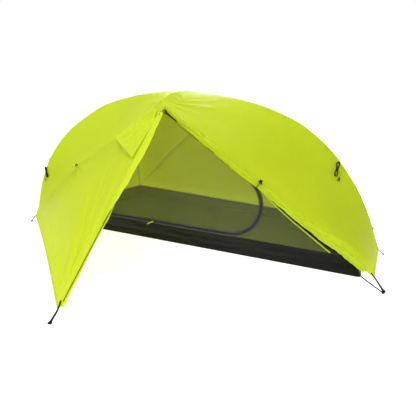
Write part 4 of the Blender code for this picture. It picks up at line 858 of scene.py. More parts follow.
for line in (flyRidgeFoot, flyRidgeHead, flyLeg, mirrored(flyLeg), seamLine, mirrored(seamLine),
             rearDoorLine):
    relief += flyLookSet["gathers"] * pucker(flyPoints, line, 0.045, 0.13, 9)
for centre in (flyTip, mirrored(flyTip)):
    wave, far = foldsRound(flyPoints, centre, vec(0.8, 0, -0.6), vec(-0.6, 0, -0.8), 26, 3)
    relief += flyLookSet["tipFolds"] * crest(wave) * ease(far, 0.01, 0.06) * (1 - ease(far, 0.12, 0.50))
for centre in (footCorner, mirrored(footCorner), headCorner, mirrored(headCorner)):
    wave, far = foldsRound(flyPoints, centre, vec(0, 0.6, 0.8), vec(-0.8, 0.3, 0.2), 15, 5)
    relief += flyLookSet["cornerFolds"] * crest(wave) * ease(far, 0.01, 0.08) * (1 - ease(far, 0.14, 0.50))
relief *= seamFade * backFade
poleRise = 1 - ease(distanceToPath(flyPoints, crossWhole), 0.0, 0.030)
relief += flyLookSet["poleRise"] * poleRise * ease(distanceToPath(flyPoints, frontEdges[:2]), 0.0, 0.2)
shiftPoints(fly, relief)
thickened(fly, g["cloth"])
ridden(fly, "fly", "fly_cloth", "fly_front_right", "fly_front_left", "fly_rear_right", "fly_rear_left",
       "fly_rear_wall", "fly_head_end")

# Left half of the vestibule
vestibuleSet = {
    "across": 120, "longFolds": 0.0068, "fanFolds": 0.0040, "loopShare": 0.535, "loopFolds": 0.0050,
    "waves": 0.0046, "ripples": 0.0016, "gathers": 0.0018,
}
sideEdge = hemLine(headCorner, apex, vestibuleSet["across"], vec(0.008, 0.004, 0), g["hemArch"])
vestibuleRows = loft(seamLine, zipLine, vestibuleSet["across"], endEdge=sideEdge)
vestibule = joinedGrids("vestibuleLeft", [vestibuleRows], vestibuleCloth)
p = meshPoints(vestibule)[0]
seamLoop = seamLine[int(g["rows"] * vestibuleSet["loopShare"])]
zipUp = unit(zipTop - apex)
zipAside = unit(np.cross(zipUp, surfaceNormal(vestibuleRows, 0.6, 0.6)))
wave, far = foldsRound(p, apex, zipUp, zipAside, 34, 1, 0.25)
slow, far = foldsRound(p, apex, zipUp, zipAside, 15, 4, 0.4)
thin, far = foldsRound(p, apex, zipUp, zipAside, 92, 2, 1.6)
nearZip = 1 - ease(distanceToPath(p, zipLine[::10]), 0.02, 0.42)
relief = vestibuleSet["longFolds"] * (0.45 * crest(wave) + 0.8 * slow) * (0.15 + 0.85 * nearZip)
patches = 0.6 + 0.4 * noiseAt(p, 4.0, 6)
relief += vestibuleSet["fanFolds"] * crest(thin, 2.2) * (0.15 + 0.85 * nearZip) * patches
relief *= ease(far, 0.02, 0.35) * ease(p[:, 2] * -1, -0.90, -0.70)
relief += vestibuleSet["waves"] * noiseAt(p, (3.3, 3.3, 3.3), 7)
relief += vestibuleSet["ripples"] * noiseAt(p, 12.0, 8)
relief += vestibuleSet["gathers"] * (pucker(p, seamLine, 0.035, 0.11, 4) + pucker(p, sideEdge, 0.05, 0.10, 5))
wave, far = foldsRound(p, seamLoop, vec(1, 0, 0), vec(0, 0, 1), 13, 2)
relief += vestibuleSet["loopFolds"] * crest(wave) * ease(far, 0.01, 0.04) * (1 - ease(far, 0.06, 0.26))
relief *= ease(distanceToPath(p, seamLine[::6]), 0.0, 0.05)
relief *= ease(distanceToPath(p, zipLine[::20]), 0.0, 0.04)
relief *= ease(distanceToPath(p, sideEdge[::6]), 0.0, 0.03)
shiftPoints(vestibule, relief)
thickened(vestibule, g["cloth"])
seamChord = unit(headCorner - flyTip)
seamMiddle = seamLine[int(np.argmax(seamPush))]
bendWay = apex - seamMiddle
bendWay = unit(bendWay - seamChord * (bendWay @ seamChord))


def onVestibule(made, slot, *nodes):
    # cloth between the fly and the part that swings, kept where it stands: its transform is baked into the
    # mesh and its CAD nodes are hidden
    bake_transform(made)
    if nodes:
        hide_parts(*nodes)
    return made


onVestibule(vestibule, "fly_cloth", "vestibule_left")

# Vent hood
acrossVestibule = unit(surfacePoint(vestibuleRows, 0.3, 0.0) - surfacePoint(vestibuleRows, 0.3, 1.0))
hoodSet = {
    "top": 0.045, "seamEnd": 0.269, "freeEnd": 0.343, "side": 0.03, "width": 0.90, "topNarrower": 0.28,
    "lift": 0.006, "rise": 0.036, "crumple": 0.0095, "tipFolds": 0.0030, "rows": 64, "across": 88,
}
hoodRows = np.zeros((hoodSet["rows"] + 1, hoodSet["across"] + 1, 3))
for i in range(hoodSet["rows"] + 1):
    for j in range(hoodSet["across"] + 1):
        share, across = i / hoodSet["rows"], j / hoodSet["across"]
        wide = hoodSet["width"] - hoodSet["topNarrower"] * (1 - float(ease(share, 0.0, 0.25)))
        low = hoodSet["seamEnd"] + (hoodSet["freeEnd"] - hoodSet["seamEnd"]) * across
        rise = hoodSet["lift"] + hoodSet["rise"] * share ** 1.5 * math.sin(math.pi * across) ** 0.8
        place = (hoodSet["top"] + (low - hoodSet["top"]) * share,
                 hoodSet["side"] + (wide - hoodSet["side"]) * across)
        hoodRows[i, j] = surfacePoint(vestibuleRows, *place) + surfaceNormal(vestibuleRows, *place) * rise
# the sheet is cut along the hem and the free side
hood = joinedGrids("ventHood", [hoodRows], hoodCloth)
p = meshPoints(hood)[0]
ridges = 1 - np.abs(noiseAt(p, 17.0, 11)) * 3
crumple = 0.55 * noiseAt(p, 11.0, 12) + 0.45 * np.clip(ridges, 0, 1) + 0.25 * noiseAt(p, 30.0, 13)
relief = hoodSet["crumple"] * crumple
tipWave, far = foldsRound(p, zipTop, unit(apex - zipTop), acrossVestibule, 24, 3, 1.0)
relief += hoodSet["tipFolds"] * crest(tipWave) * ease(far, 0.01, 0.06) * (1 - ease(far, 0.15, 0.45))
edge = np.minimum(distanceToPath(p, hoodRows[::6, 0]), distanceToPath(p, hoodRows[::6, -1]))
relief *= ease(edge, 0.0, 0.03) * ease(distanceToPath(p, hoodRows[0, ::8]), 0.0, 0.03)
shiftPoints(hood, relief)
thickened(hood, g["cloth"])
onVestibule(hood, "fly_cloth", "vent_hood")

# Zip along the free edge, and the storm flap over it
zipSet = {"radius": 0.0022, "coil": 0.0014, "from": 0.030, "toEnd": 0.040, "gap": 0.0004}
flapSet = {
    "inside": 0.026, "height": 0.0125, "thin": 0.0007, "rows": 150, "across": 26, "endShare": 0.66,
    "crumple": 0.0034, "groove": 0.0075, "grooveAt": 0.50,
}
zipAlong = unit(apex - zipTop)
zipFace = surfaceNormal(vestibuleRows, 0.5, 0.97)
zipOut = towards(unit(np.cross(zipAlong, zipFace)), footSide)
zipFace = towards(unit(np.cross(zipOut, zipAlong)), doorSide)
zipShift = zipOut * (zipSet["radius"] + zipSet["gap"])
zipStart = zipTop + zipAlong * zipSet["from"] + zipShift
zipEnd = apex - zipAlong * zipSet["toEnd"] + zipShift
coilCore = sweep("vestibuleZipCoil", straight(zipStart, zipEnd, 160), circle(zipSet["coil"], 8), blackCoil)
ridden(coilCore, "vestibule_left", "zip", "vestibule_zip")
teethLook = {"Spacing": 0.0017, "Length": 0.0011, "Width": 0.0030, "Aside": 0.0007, "Unevenness": 0.0,
             "Material": blackCoil}
coilTeeth = grown("vestibuleZipTeeth", beadsAlongLine, [straight(zipStart, zipEnd, 40)], teethLook)
ridden(coilTeeth, "vestibule_left", "zip")


def flapReach(share):
    # how far the flap's edge stands beyond the zip's line, down the free edge
    return float(np.interp(share, [0.0, 0.08, 0.30, 0.48, 0.62, 0.70, 0.85, 0.97, 1.0],
                           [0.014, 0.037, 0.056, 0.042, 0.015, 0.007, 0.010, 0.018, 0.004]))


def flapGrid(first, last, lift, behind):
    rows = []
    for i in range(flapSet["rows"] + 1):
        share = first + (last - first) * i / flapSet["rows"]
        edge = zipTop + (apex - zipTop) * share
        fade = ease(share, first, first + 0.05) * (1 - ease(share, last - 0.07, last))
        reach = flapReach(share) * (fade if not behind else ease(share, first, first + 0.10))
        inside = flapSet["inside"] if not behind else 0.010 * float(ease(share, first, first + 0.08))
        row = []
        for j in range(flapSet["across"] + 1):
            t = j / flapSet["across"]
            across = -inside + (inside + reach) * t
            arch = math.sin(math.pi * min(max((t - 0.02) / 1.12, 0), 1)) ** 0.7
            height = lift * arch * (0.25 + 0.75 * fade)
            if behind:
                height = -0.0034 - 0.002 * t
            where = Vector((share * 30, t * 1.3, 3.1 if behind else 8.3))
            height += flapSet["crumple"] * noise.noise(where) * t * (1 if not behind else 0.6)
            if not behind:
                height -= flapSet["groove"] * fade * math.exp(-((t - flapSet["grooveAt"]) / 0.10) ** 2)
            row.append(edge + zipOut * across + zipFace * (height + (0.0012 if not behind else 0)))
        rows.append(row)
    return np.array(rows)


upperFlap = flapGrid(0.020, flapSet["endShare"], flapSet["height"], False)
lowerFlap = flapGrid(flapSet["endShare"] - 0.10, 0.985, 0.0, True)
for name, rows in (("stormFlapUpper", upperFlap), ("stormFlapLower", lowerFlap)):
    flap = joinedGrids(name, [rows], bindingCloth, centre=tuple(rows.mean(axis=(0, 1)) - zipFace))
    thickened(flap, flapSet["thin"])
    ridden(flap, "vestibule_left", "fly_cloth")
print("zip and flaps ready")

# Rolled right half of the vestibule
rollSet = {
    "shares": (0.02, 0.06, 0.15, 0.33, 0.46, 0.516, 0.57, 0.66, 0.80, 0.88, 0.93, 0.970),
    "radii": (0.012, 0.018, 0.0235, 0.0275, 0.0250, 0.0125, 0.0190, 0.0240, 0.0320, 0.0360, 0.0300, 0.0090),
    "below": (0.6, 0.6, 0.65, 0.65, 0.72, 1.30, 0.90, 0.85, 0.25, -0.05, 0.05, 0.5),
    "before": (0.2, 0.3, 0.35, 0.35, 0.30, -0.30, 0.30, 0.45, 0.80, 0.90, 0.85, 0.5),
    "hangs": (0, -0.64, -0.77), "from": 0.030, "to": 0.962, "turns": 2.4, "rows": 260, "around": 110,
    "lumps": 0.17, "strands": 0.26, "creases": 0.13, "groove": 0.42, "tie": 0.516, "most": 1.16,
    "thinning": 0.66, "cloth": 0.0007,
}
doorAlong = unit(footCorner - flyTip)
rollSide = vec(*rollSet["hangs"])
rollSide = unit(rollSide - doorAlong * (rollSide @ doorAlong))
rollFront = towards(unit(np.cross(rollSide, doorAlong)), doorSide)


def rollValue(label, share):
    # a smooth reading between the named places down the door's edge
    fine = np.linspace(share - 0.02, share + 0.02, 9)
    return float(np.mean(np.interp(fine, rollSet["shares"], rollSet[label])))


def rollCentre(share):
    radius = rollValue("radii", share)
    return (flyTip + (footCorner - flyTip) * share + rollSide * radius * rollValue("below", share)
            + rollFront * radius * rollValue("before", share))


rollRows = np.zeros((rollSet["rows"] + 1, rollSet["around"] + 1, 3))
for i in range(rollSet["rows"] + 1):
    share = rollSet["from"] + (rollSet["to"] - rollSet["from"]) * i / rollSet["rows"]
    centre = rollCentre(share)
    radius = rollValue("radii", share)
    door = flyTip + (footCorner - flyTip) * share
    upper = float(ease(share, 0.05, 0.12) * (1 - ease(share, 0.44, 0.50)))
    for j in range(rollSet["around"] + 1):
        t = j / rollSet["around"]
        turn = rollSet["turns"] * 2 * math.pi * t
        size = radius * (1 - rollSet["thinning"] * t)
        wound = (turn + share * 5.0) % (2 * math.pi)
        where = Vector((share * 11, math.cos(wound) * 1.1, math.sin(wound) * 1.1))
        strand = Vector((share * 5.5, math.cos(wound) * 2.6, math.sin(wound) * 2.6 + 4))
        crease = Vector((share * 34, math.cos(wound) * 2.2, math.sin(wound) * 2.2 + 9))
        strands = rollSet["strands"] * (0.45 - abs(noise.noise(strand)) * 2.2)
        size *= 1 + rollSet["lumps"] * noise.noise(where) + strands
        size *= 1 + rollSet["creases"] * (0.5 - abs(noise.noise(crease)) * 2.4)
        facing = math.cos(turn - 1.15)
        size *= 1 - rollSet["groove"] * upper * max(0.0, 1 - (1 - facing) * 14)
        size = min(size, radius * rollSet["most"])
        lead = float(1 - ease(t, 0.0, 0.06))
        wrapped = centre - rollSide * size * math.cos(turn) + rollFront * size * math.sin(turn)
        rollRows[i, j] = wrapped * (1 - lead) + (door - rollSide * 0.001) * lead
roll = joinedGrids("rolledDoor", [rollRows], rollCloth, tuple(rollCentre(0.6)))
ridden(thickened(roll, rollSet["cloth"], 0.0, 60), "fly", "fly_cloth", "fly_door_rolled")

# Tie that holds the roll, a thick cord from the toggle round the roll
tieSet = {"radius": 0.0021, "clear": 0.0020}
toggleBox = [np.array(corner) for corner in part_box("roll_toggle")]
togglePlace = (toggleBox[0] + toggleBox[1]) / 2
tieCentre = rollCentre(rollSet["tie"])
tieRadius = rollValue("radii", rollSet["tie"]) * rollSet["most"] + tieSet["radius"] + tieSet["clear"]
tieRing = [tieCentre - rollSide * tieRadius * math.cos(t) + rollFront * tieRadius * math.sin(t)
           for t in np.linspace(0.75, 2 * math.pi - 0.05, 12)]
tieLine = smoothPath([togglePlace + rollFront * 0.001] + tieRing + [tieCentre - rollSide * tieRadius], 60)
rollTie = sweep("rollTie", tieLine, circle(tieSet["radius"], 10), tieCord)
ridden(rollTie, "fly", "cord", "roll_tie")

# Inner tent: tub of coated cloth
tubHead = floorHead + vec(s["tubLean"], s["tubLean"], s["tubHead"])
tubFoot = floorFoot + vec(-s["tubFootLean"], s["tubFootLean"], s["tubFoot"])
tubSet = {
    "cloth": 0.0010, "sideCount": 150, "endCount": 60, "levels": 22, "folds": 0.0070, "ripple": 0.0016,
}


def tubLoop(head, foot):
    # the closed line round the tub, with its corners softened
    corners = [head, foot, mirrored(foot), mirrored(head)]
    counts = [tubSet["sideCount"], tubSet["endCount"], tubSet["sideCount"], tubSet["endCount"]]
    loop = np.concatenate([straight(corners[i], corners[(i + 1) % 4], counts[i])[:-1] for i in range(4)])
    for turn in range(3):
        loop = (np.roll(loop, 1, axis=0) + loop * 2 + np.roll(loop, -1, axis=0)) / 4
    return loop


lowLoop = tubLoop(floorHead, floorFoot)
highLoop = tubLoop(tubHead, tubFoot)
loopOut = unit(lowLoop * vec(1, 1, 0) * vec(0.35, 1, 0))
tubRows = []
for i in range(tubSet["levels"] + 1):
    h = i / tubSet["levels"]
    ring = lowLoop * (1 - h) + highLoop * h
    swell = math.sin(math.pi * h)
    wave = noiseAt(ring, (2.2, 2.2, 34.0), 21) + 0.4 * noiseAt(ring, (14.0, 14.0, 40.0), 22)
    ring = ring - loopOut * (tubSet["folds"] * swell * (0.8 - wave))[:, None]
    tubRows.append(ring)
tubRows = np.array(tubRows)
tubRows[:, :, 2] = np.maximum(tubRows[:, :, 2], 0.0)


def insideLoops(points, loops):
    # true where a point lies inside an odd number of the outlines
    inside = np.zeros(len(points), bool)
    for loop in loops:
        loop = np.asarray(loop)[:, :2]
        for a, b in zip(loop, np.roll(loop, -1, axis=0)):
            spans = (a[1] > points[:, 1]) != (b[1] > points[:, 1])
            rise = b[1] - a[1] if b[1] != a[1] else 1e-12
            inside ^= spans & (points[:, 0] < (b[0] - a[0]) * (points[:, 1] - a[1]) / rise + a[0])
    return inside


def filledOutline(loops, spacing):
    # triangles inside plane outlines, with evenly spread inner points
    points, edges = [], []
    for loop in loops:
        start = len(points)
        points += [tuple(q[:2]) for q in loop]
        edges += [(start + i, start + (i + 1) % len(loop)) for i in range(len(loop))]
    border = np.array([[*points[a], 0] for a, b in edges])
    low, high = np.min(points, axis=0), np.max(points, axis=0)
    nx, ny = [max(int((high[i] - low[i]) / spacing), 1) for i in (0, 1)]
    spread = np.array([[low[0] + (i + 0.5 + 0.25 * (j % 2)) * spacing, low[1] + (j + 0.5) * spacing, 0]
                       for i in range(nx) for j in range(ny)])
    near = np.concatenate([border, (border + np.roll(border, 1, axis=0)) / 2])
    keep = [q for q in spread if np.min(np.sum((near - q) ** 2, axis=1)) > (spacing * 0.5) ** 2]
    result = delaunay_2d_cdt([Vector(q) for q in points] + [Vector(q[:2]) for q in keep], edges, [], 1, 1e-7)
    flat = np.array([tuple(q) for q in result[0]])
    faces = [list(f) for f in result[2]]
    inside = insideLoops(np.array([flat[f].mean(axis=0) for f in faces]), loops)
    faces = [f for f, kept in zip(faces, inside) if kept]
    used = sorted({i for f in faces for i in f})
    order = {old: new for new, old in enumerate(used)}
    return flat[used], [[order[i] for i in f] for f in faces]


floorFlat, floorFaces = filledOutline([tubRows[0][:, :2]], 0.045)
wallParts = gridParts(np.concatenate([tubRows, tubRows[:, :1]], axis=1))
edgeAway = distanceToPath(raised(floorFlat), np.concatenate([tubRows[0][::5], tubRows[0][:1]]))
ripple = tubSet["ripple"] * np.abs(noiseAt(raised(floorFlat), 7.0, 23)) * ease(edgeAway, 0.0, 0.03)
floorPoints = np.column_stack([floorFlat, ripple])
floorUvs = floorFlat[[i for f in floorFaces for i in f]]


def floorDown(faces):
    return -sum(f.calc_area() * f.normal.z for f in faces if f.calc_center_median().z < 0.003)


tubPiece = joinedMesh("floorTub", [wallParts, (floorPoints, floorFaces, floorUvs)], tubCloth)
turnedOut(tubPiece, floorDown, weldDistance)
thickened(tubPiece, tubSet["cloth"], -1.0)
ridden(tubPiece, "inner_tent", "floor_cloth", "floor_tub")

# Inner tent: net roof and walls
netSet = {
    "cloth": 0.0004, "clear": 0.0012, "across": 10, "spacing": 0.045, "sag": 0.004, "hollow": 0.003,
}
canopyFoot = tubFoot + up * netSet["clear"]
canopyHead = tubHead + up * netSet["clear"]
innerTip = vec(s["peakX"], -s["crossHalf"] + s["innerTipIn"], s["crossTip"] - s["innerTipDrop"])
ridgeInner = pushedOut(ridgePath, vec(s["peakX"], 0, 0.2), -s["innerDrop"])
innerPeak = vec(s["peakX"], 0, s["peakHeight"] - s["innerDrop"])
innerHub = hub - vec(-0.01, 0, s["innerDrop"])
footTop = vec(canopyFoot[0], 0, canopyFoot[2])
footLow = [q for q in ridgeInner[6:peakIndex - 2:3] if q[2] > canopyFoot[2] + 0.06]
innerRidgeFoot = smoothPath([innerPeak] + footLow[::-1] + [footTop], 72)
innerRidgeHead = smoothPath([innerPeak, ridgeInner[(peakIndex + 36) // 2], innerHub], 24)
legInner = pushedOut(legPath, vec(s["hubX"] + 0.1, 0, 0.15), -s["innerDrop"])
legMiddle = [q for q in legInner[3:-1:3] if q[2] > canopyHead[2] + 0.06]
innerLeg = smoothPath([innerHub] + legMiddle + [canopyHead], 54)
innerHeadLine = np.concatenate([innerRidgeHead, innerLeg[1:]])
netFoot = loft(straight(innerTip, canopyFoot, 72), innerRidgeFoot, netSet["across"])
netSide = loft(straight(innerTip, canopyHead, 78), innerHeadLine, netSet["across"])
netHead = loft(innerLeg, mirrored(innerLeg), netSet["across"] * 2)
netGrids = [netFoot, mirrored(netFoot), netSide, mirrored(netSide), netHead]
netRoof = joinedGrids("innerNetRoof", netGrids, innerNet)
p, n = meshPoints(netRoof)
wallEdges = np.concatenate([straight(canopyFoot, innerTip, 20), straight(innerTip, canopyHead, 20)])
fade = ease(distanceToPath(p, wallEdges), 0, 0.05) * ease(distanceToPath(p, mirrored(wallEdges)), 0, 0.05)
fade = fade * ease(p[:, 2], s["tubHead"] + 0.01, s["tubHead"] + 0.06)
shiftPoints(netRoof, -netSet["hollow"] * fade * (0.6 + noiseAt(p, 5.0, 31)))
thickened(netRoof, netSet["cloth"])
ridden(netRoof, "inner_tent", "inner_mesh", "inner_foot_roof", "inner_side_front", "inner_side_rear",
       "inner_head_wall")

wallLength = np.linalg.norm(canopyFoot - canopyHead)
wallAlong = (canopyFoot - canopyHead) / wallLength
tipAlong = (innerTip - canopyHead) @ wallAlong
wallUp = unit(innerTip - canopyHead - wallAlong * tipAlong)
tipUp = (innerTip - canopyHead) @ wallUp
wallOut = np.cross(wallAlong, wallUp)
doorSet = {
    "left": 0.080, "right": 0.020, "bottom": 0.012, "lowRadius": 0.190, "topRadius": 0.035,
    "leftRadius": 0.030, "wallSlot": 0.0030, "doorSlot": 0.0052, "hingeSlot": 0.0012, "trim": 0.0014,
}


def onWall(points, out=0.0):
    points = np.asarray(points, float)
    return canopyHead + points[..., 0:1] * wallAlong + points[..., 1:2] * wallUp + out * wallOut


def crossing(pointA, wayA, pointB, wayB):
    share = np.linalg.solve(np.array([wayA, -wayB]).T, pointB - pointA)[0]
    return pointA + wayA * share


def wallTriangle(left, right, bottom):
    leftWay = unit(np.array([tipAlong, tipUp]))
    rightWay = unit(np.array([tipAlong - wallLength, tipUp]))
    leftPoint = np.array([leftWay[1], -leftWay[0]]) * left
    rightPoint = np.array([wallLength, 0.0]) - np.array([rightWay[1], -rightWay[0]]) * right
    low, flat = np.array([0.0, bottom]), np.array([1.0, 0.0])
    return [crossing(low, flat, leftPoint, leftWay), crossing(low, flat, rightPoint, rightWay),
            crossing(leftPoint, leftWay, rightPoint, rightWay)]


def roundedCorners(corners, radii, count=24):
    arcs = []
    for i, corner in enumerate(corners):
        back = unit(corners[i - 1] - corner)
        ahead = unit(corners[(i + 1) % len(corners)] - corner)
        half = math.acos(float(np.clip(back @ ahead, -1, 1))) / 2
        centre = corner + unit(back + ahead) * radii[i] / math.sin(half)
        first = corner + back * radii[i] / math.tan(half) - centre
        spin = 1 if back[0] * ahead[1] - back[1] * ahead[0] < 0 else -1
        turns = spin * (math.pi - 2 * half) * np.arange(count + 1) / count
        arcs.append(centre + np.stack([first[0] * np.cos(turns) - first[1] * np.sin(turns),
                                       first[0] * np.sin(turns) + first[1] * np.cos(turns)], axis=-1))
    return arcs


def doorArcs(inside, hingeInside):
    d = doorSet
    corners = wallTriangle(d["left"] + hingeInside, d["right"] + inside, d["bottom"] + inside)
    return roundedCorners(corners, (d["leftRadius"], d["lowRadius"] - inside, d["topRadius"] - inside))


def spacedLoop(loop, spacing):
    # the same closed outline with points at about the given spacing
    closed = np.concatenate([loop, loop[:1]])
    flat = raised(closed)
    result = []
    for a, b in zip(flat[:-1], flat[1:]):
        count = max(int(np.linalg.norm(b - a) / spacing), 1)
        result.append(straight(a, b, count)[:-1, :2])
    return np.concatenate(result)


def flatNet(name, loops, rear=False):
    loops = [spacedLoop(np.array(loop), netSet["spacing"]) for loop in loops]
    flat, faces = filledOutline(loops, netSet["spacing"])
    area = 0.0
    for f in faces:
        a, b, c = [flat[i] for i in f[:3]]
        area += abs((b[0] - a[0]) * (c[1] - a[1]) - (b[1] - a[1]) * (c[0] - a[0])) / 2
    border = np.concatenate(loops)
    away = distanceToPath(raised(flat), raised(border))
    sag = netSet["sag"] * ease(away, 0.0, 0.15) * noiseAt(raised(flat), 4.0, 41)
    points = onWall(flat) + wallOut * sag[:, None]
    points = mirrored(points) if rear else points
    uvs = flat[[i for f in faces for i in f]]

    def outward(net):
        return sum(f.normal.y * f.calc_area() for f in net) * (1 if rear else -1)

    made = turnedOut(makeMesh(name, points, faces, innerNet, uvs), outward)
    return thickened(made, netSet["cloth"]), area


wallOutline = wallTriangle(doorSet["trim"], doorSet["trim"], 0.0)
wallHole = np.concatenate(doorArcs(-doorSet["wallSlot"], 0.0))
doorOutline = np.concatenate(doorArcs(doorSet["doorSlot"], doorSet["hingeSlot"]))
frontNet, frontNetArea = flatNet("innerNetFront", [wallOutline, wallHole])
rearNet, rearNetArea = flatNet("innerNetRear", [wallOutline], rear=True)
doorNet, doorNetArea = flatNet("innerNetDoor", [doorOutline])
for net, body, node, flat, area, under in (
        (frontNet, "inner_tent", "inner_front_wall", (2.15, 0.30), frontNetArea, "floorTub"),
        (rearNet, "inner_tent", "inner_rear_wall", (2.15, 0.74), rearNetArea, "floorTub"),
        (doorNet, "inner_door", "inner_door", (1.7, 0.66), doorNetArea, "innerNetFront")):
    ridden(net, body, "inner_mesh", node)

# Zip round the inner door: coil, teeth and tapes on either side
innerZipSet = {
    "dark": 0.0060, "grey": 0.0150, "topGrey": 0.0085, "lift": 0.0009, "count": 420, "thick": 0.0006,
    "from": 0.0016, "narrowFrom": 0.62, "narrowTo": 0.80, "tapeEnd": 0.835, "coil": 0.0015,
}
zipArcs = doorArcs(0.0, 0.0)
zipFlat = np.concatenate([zipArcs[0][-1:], zipArcs[1], zipArcs[2][:8]])
zipFlat = evenly(raised(zipFlat), innerZipSet["count"])[:, :2]
zipPath = onWall(zipFlat)
innerCoil = sweep("innerZipCoil", zipPath, circle(innerZipSet["coil"], 8), blackCoil)
ridden(innerCoil, "inner_tent", "zip", "inner_door_zip")
ridden(grown("innerZipTeeth", beadsAlongLine, [zipPath], teethLook), "inner_tent", "zip")
zipWay = unit(np.gradient(zipFlat, axis=0))
zipInward = np.stack([-zipWay[:, 1], zipWay[:, 0]], axis=-1)
narrowing = 1 - ease(np.linspace(0, 1, len(zipFlat)), innerZipSet["narrowFrom"], innerZipSet["narrowTo"])
tapeEnd = int(innerZipSet["tapeEnd"] * len(zipFlat))


behindWall = tuple(onWall(np.array([1.0, 0.3]), -1.0))


def tapeGrid(first, last, height, count=3):
    # a strip beside the coil between two distances from it, narrower near the zip's upper end
    side = 1 if last > 0 else -1
    first, last = abs(first), abs(last)
    top = innerZipSet["topGrey"] * (last / innerZipSet["grey"])
    wide = np.maximum(top + (last - top) * narrowing, 0.0030)
    near = np.minimum(first, wide - 0.0004)
    rows = np.stack([onWall(zipFlat + zipInward * (side * (near + (wide - near) * j / count))[:, None],
                            height)
                     for j in range(count + 1)], axis=1)
    return rows[:tapeEnd]


for side, body in ((1, "inner_door"), (-1, "inner_tent")):
    for label, first, last, look in (("Dark", innerZipSet["from"], innerZipSet["dark"], blackWebbing),
                                     ("Grey", innerZipSet["dark"], innerZipSet["grey"], greyTape)):
        tape = joinedGrids(f"innerZip{label}{'Inner' if side > 0 else 'Outer'}",
                           [tapeGrid(side * first, side * last, innerZipSet["lift"])], look, behindWall)
        ridden(thickened(tape, innerZipSet["thick"]), body, "zip")
print("inner zip ready")

# Dark sheet at the inner wall's foot corner as painted shade of the fly's inside, lime piping along its edge,
# bindings along the net's edges
shadeSheetAndTrimSet = {
    "edge": ((1.585, 0.335), (1.751, 0.192), (1.898, 0.0886), (2.022, 0.004)), "piping": 0.0040,
    "binding": 0.0014, "lift": 0.0022, "cloth": 0.0005, "trim": 0.004,
}
pipingEdge = smoothPath([vec(*point, 0) for point in shadeSheetAndTrimSet["edge"]], 40)[:, :2]
rightEdge = np.array([[wallLength - (wallLength - tipAlong) * q[1] / tipUp - shadeSheetAndTrimSet["trim"], q[1]]
                      for q in pipingEdge])
# the dark sheet stands in for the shade inside the fly beyond the piping: painted shade
shadeSheetRows = np.stack([onWall(pipingEdge + (rightEdge - pipingEdge) * k / 6, shadeSheetAndTrimSet["lift"])
                       for k in range(7)], axis=1)
shadeSheet = joinedGrids("wallShadeSheet", [shadeSheetRows], shadeSheetCloth, behindWall)
ridden(thickened(shadeSheet, shadeSheetAndTrimSet["cloth"]), "inner_tent", "floor_cloth")
piping = sweep("wallPiping", onWall(pipingEdge, shadeSheetAndTrimSet["lift"] + 0.0022), circle(shadeSheetAndTrimSet["piping"], 8),
               limePiping)
ridden(piping, "inner_tent", "inner_mesh")
netEdges = [straight(innerTip, canopyFoot, 60), straight(innerTip, canopyHead, 60), innerLeg, innerRidgeFoot,
            innerRidgeHead]
netEdges += [mirrored(line) for line in netEdges[:3]]
bindingParts = [sweepParts(line, circle(shadeSheetAndTrimSet["binding"], 8)) for line in netEdges]
ridden(joinedParts("netBindings", bindingParts, netBinding), "inner_tent", "inner_mesh")

# Seams and hems
stripSet = {
    "seam": 0.0055, "lift": 0.0010, "thick": 0.0006, "hem": 0.012, "hemThick": 0.0024, "hemStitch": 0.0095,
    "seamStitch": 0.0042,
}


def outwardGrid(rows, lift):
    # lifts a strip off the cloth and turns it to face outwards
    along = np.gradient(rows, axis=0)
    side = np.gradient(rows, axis=1)
    normals = unit(np.cross(along, side))
    facing = np.sum(normals * (rows - tentMiddle)) > 0
    rows = rows + normals * (lift if facing else -lift)
    return rows[:, ::-1] if facing else rows


def seamGrid(rowsA, rowsB, width):
    steps = np.array([width, width * 0.45])
    grid = [np.concatenate([atLength(a, steps), a[:1], atLength(b, steps)[::-1]])
            for a, b in zip(rowsA, rowsB)]
    return outwardGrid(np.array(grid), stripSet["lift"])


def stripObject(name, grids, material):
    made = joinedMesh(name, [gridParts(grid) for grid in grids], material)
    thickened(made, stripSet["thick"], 1.0)
    return ridden(made, "fly", "fly_cloth")


rearRight, rearLeft = mirrored(frontRight), mirrored(frontLeft)
ridgeRows = g["ridgeRows"]
seamGrids = [
    seamGrid(frontRight.swapaxes(0, 1), frontLeft.swapaxes(0, 1), stripSet["seam"]),
    seamGrid(rearRight.swapaxes(0, 1), rearLeft.swapaxes(0, 1), stripSet["seam"]),
    seamGrid(frontLeft[ridgeRows:, ::-1], headEnd, stripSet["seam"]),
    seamGrid(rearLeft[ridgeRows:, ::-1], headEnd[:, ::-1], stripSet["seam"]),
    seamGrid(rearRight, rearWall, stripSet["seam"]),
    seamGrid(rearLeft, rearWall[:, ::-1], stripSet["seam"]),
    outwardGrid(np.array([atLength(row, np.linspace(0.0006, 0.010, 4)) for row in frontLeft]),
                stripSet["lift"]),
]
stripObject("flySeams", seamGrids, bindingCloth)


def hemParts(rows):
    # a folded hem round the last row of a panel
    edge = rows[-1]
    inward = unit(rows[-2] - rows[-1])
    normals = unit(np.cross(np.gradient(edge, axis=0), inward))
    normals = normals if np.sum(normals * (edge - tentMiddle)) > 0 else -normals
    return sweepParts(edge + inward * (stripSet["hem"] / 2 - 0.001),
                      band(stripSet["hem"], stripSet["hemThick"]), normals)


hemmedOnFly = (frontRight, rearRight, rearWall, headEnd)
ridden(joinedParts("flyHems", [hemParts(rows) for rows in hemmedOnFly], bindingCloth), "fly", "fly_cloth")
for name, rows in (("vestibuleHem", vestibuleRows), ("hoodHem", hoodRows)):
    onVestibule(joinedParts(name, [hemParts(rows)], bindingCloth), "fly_cloth")


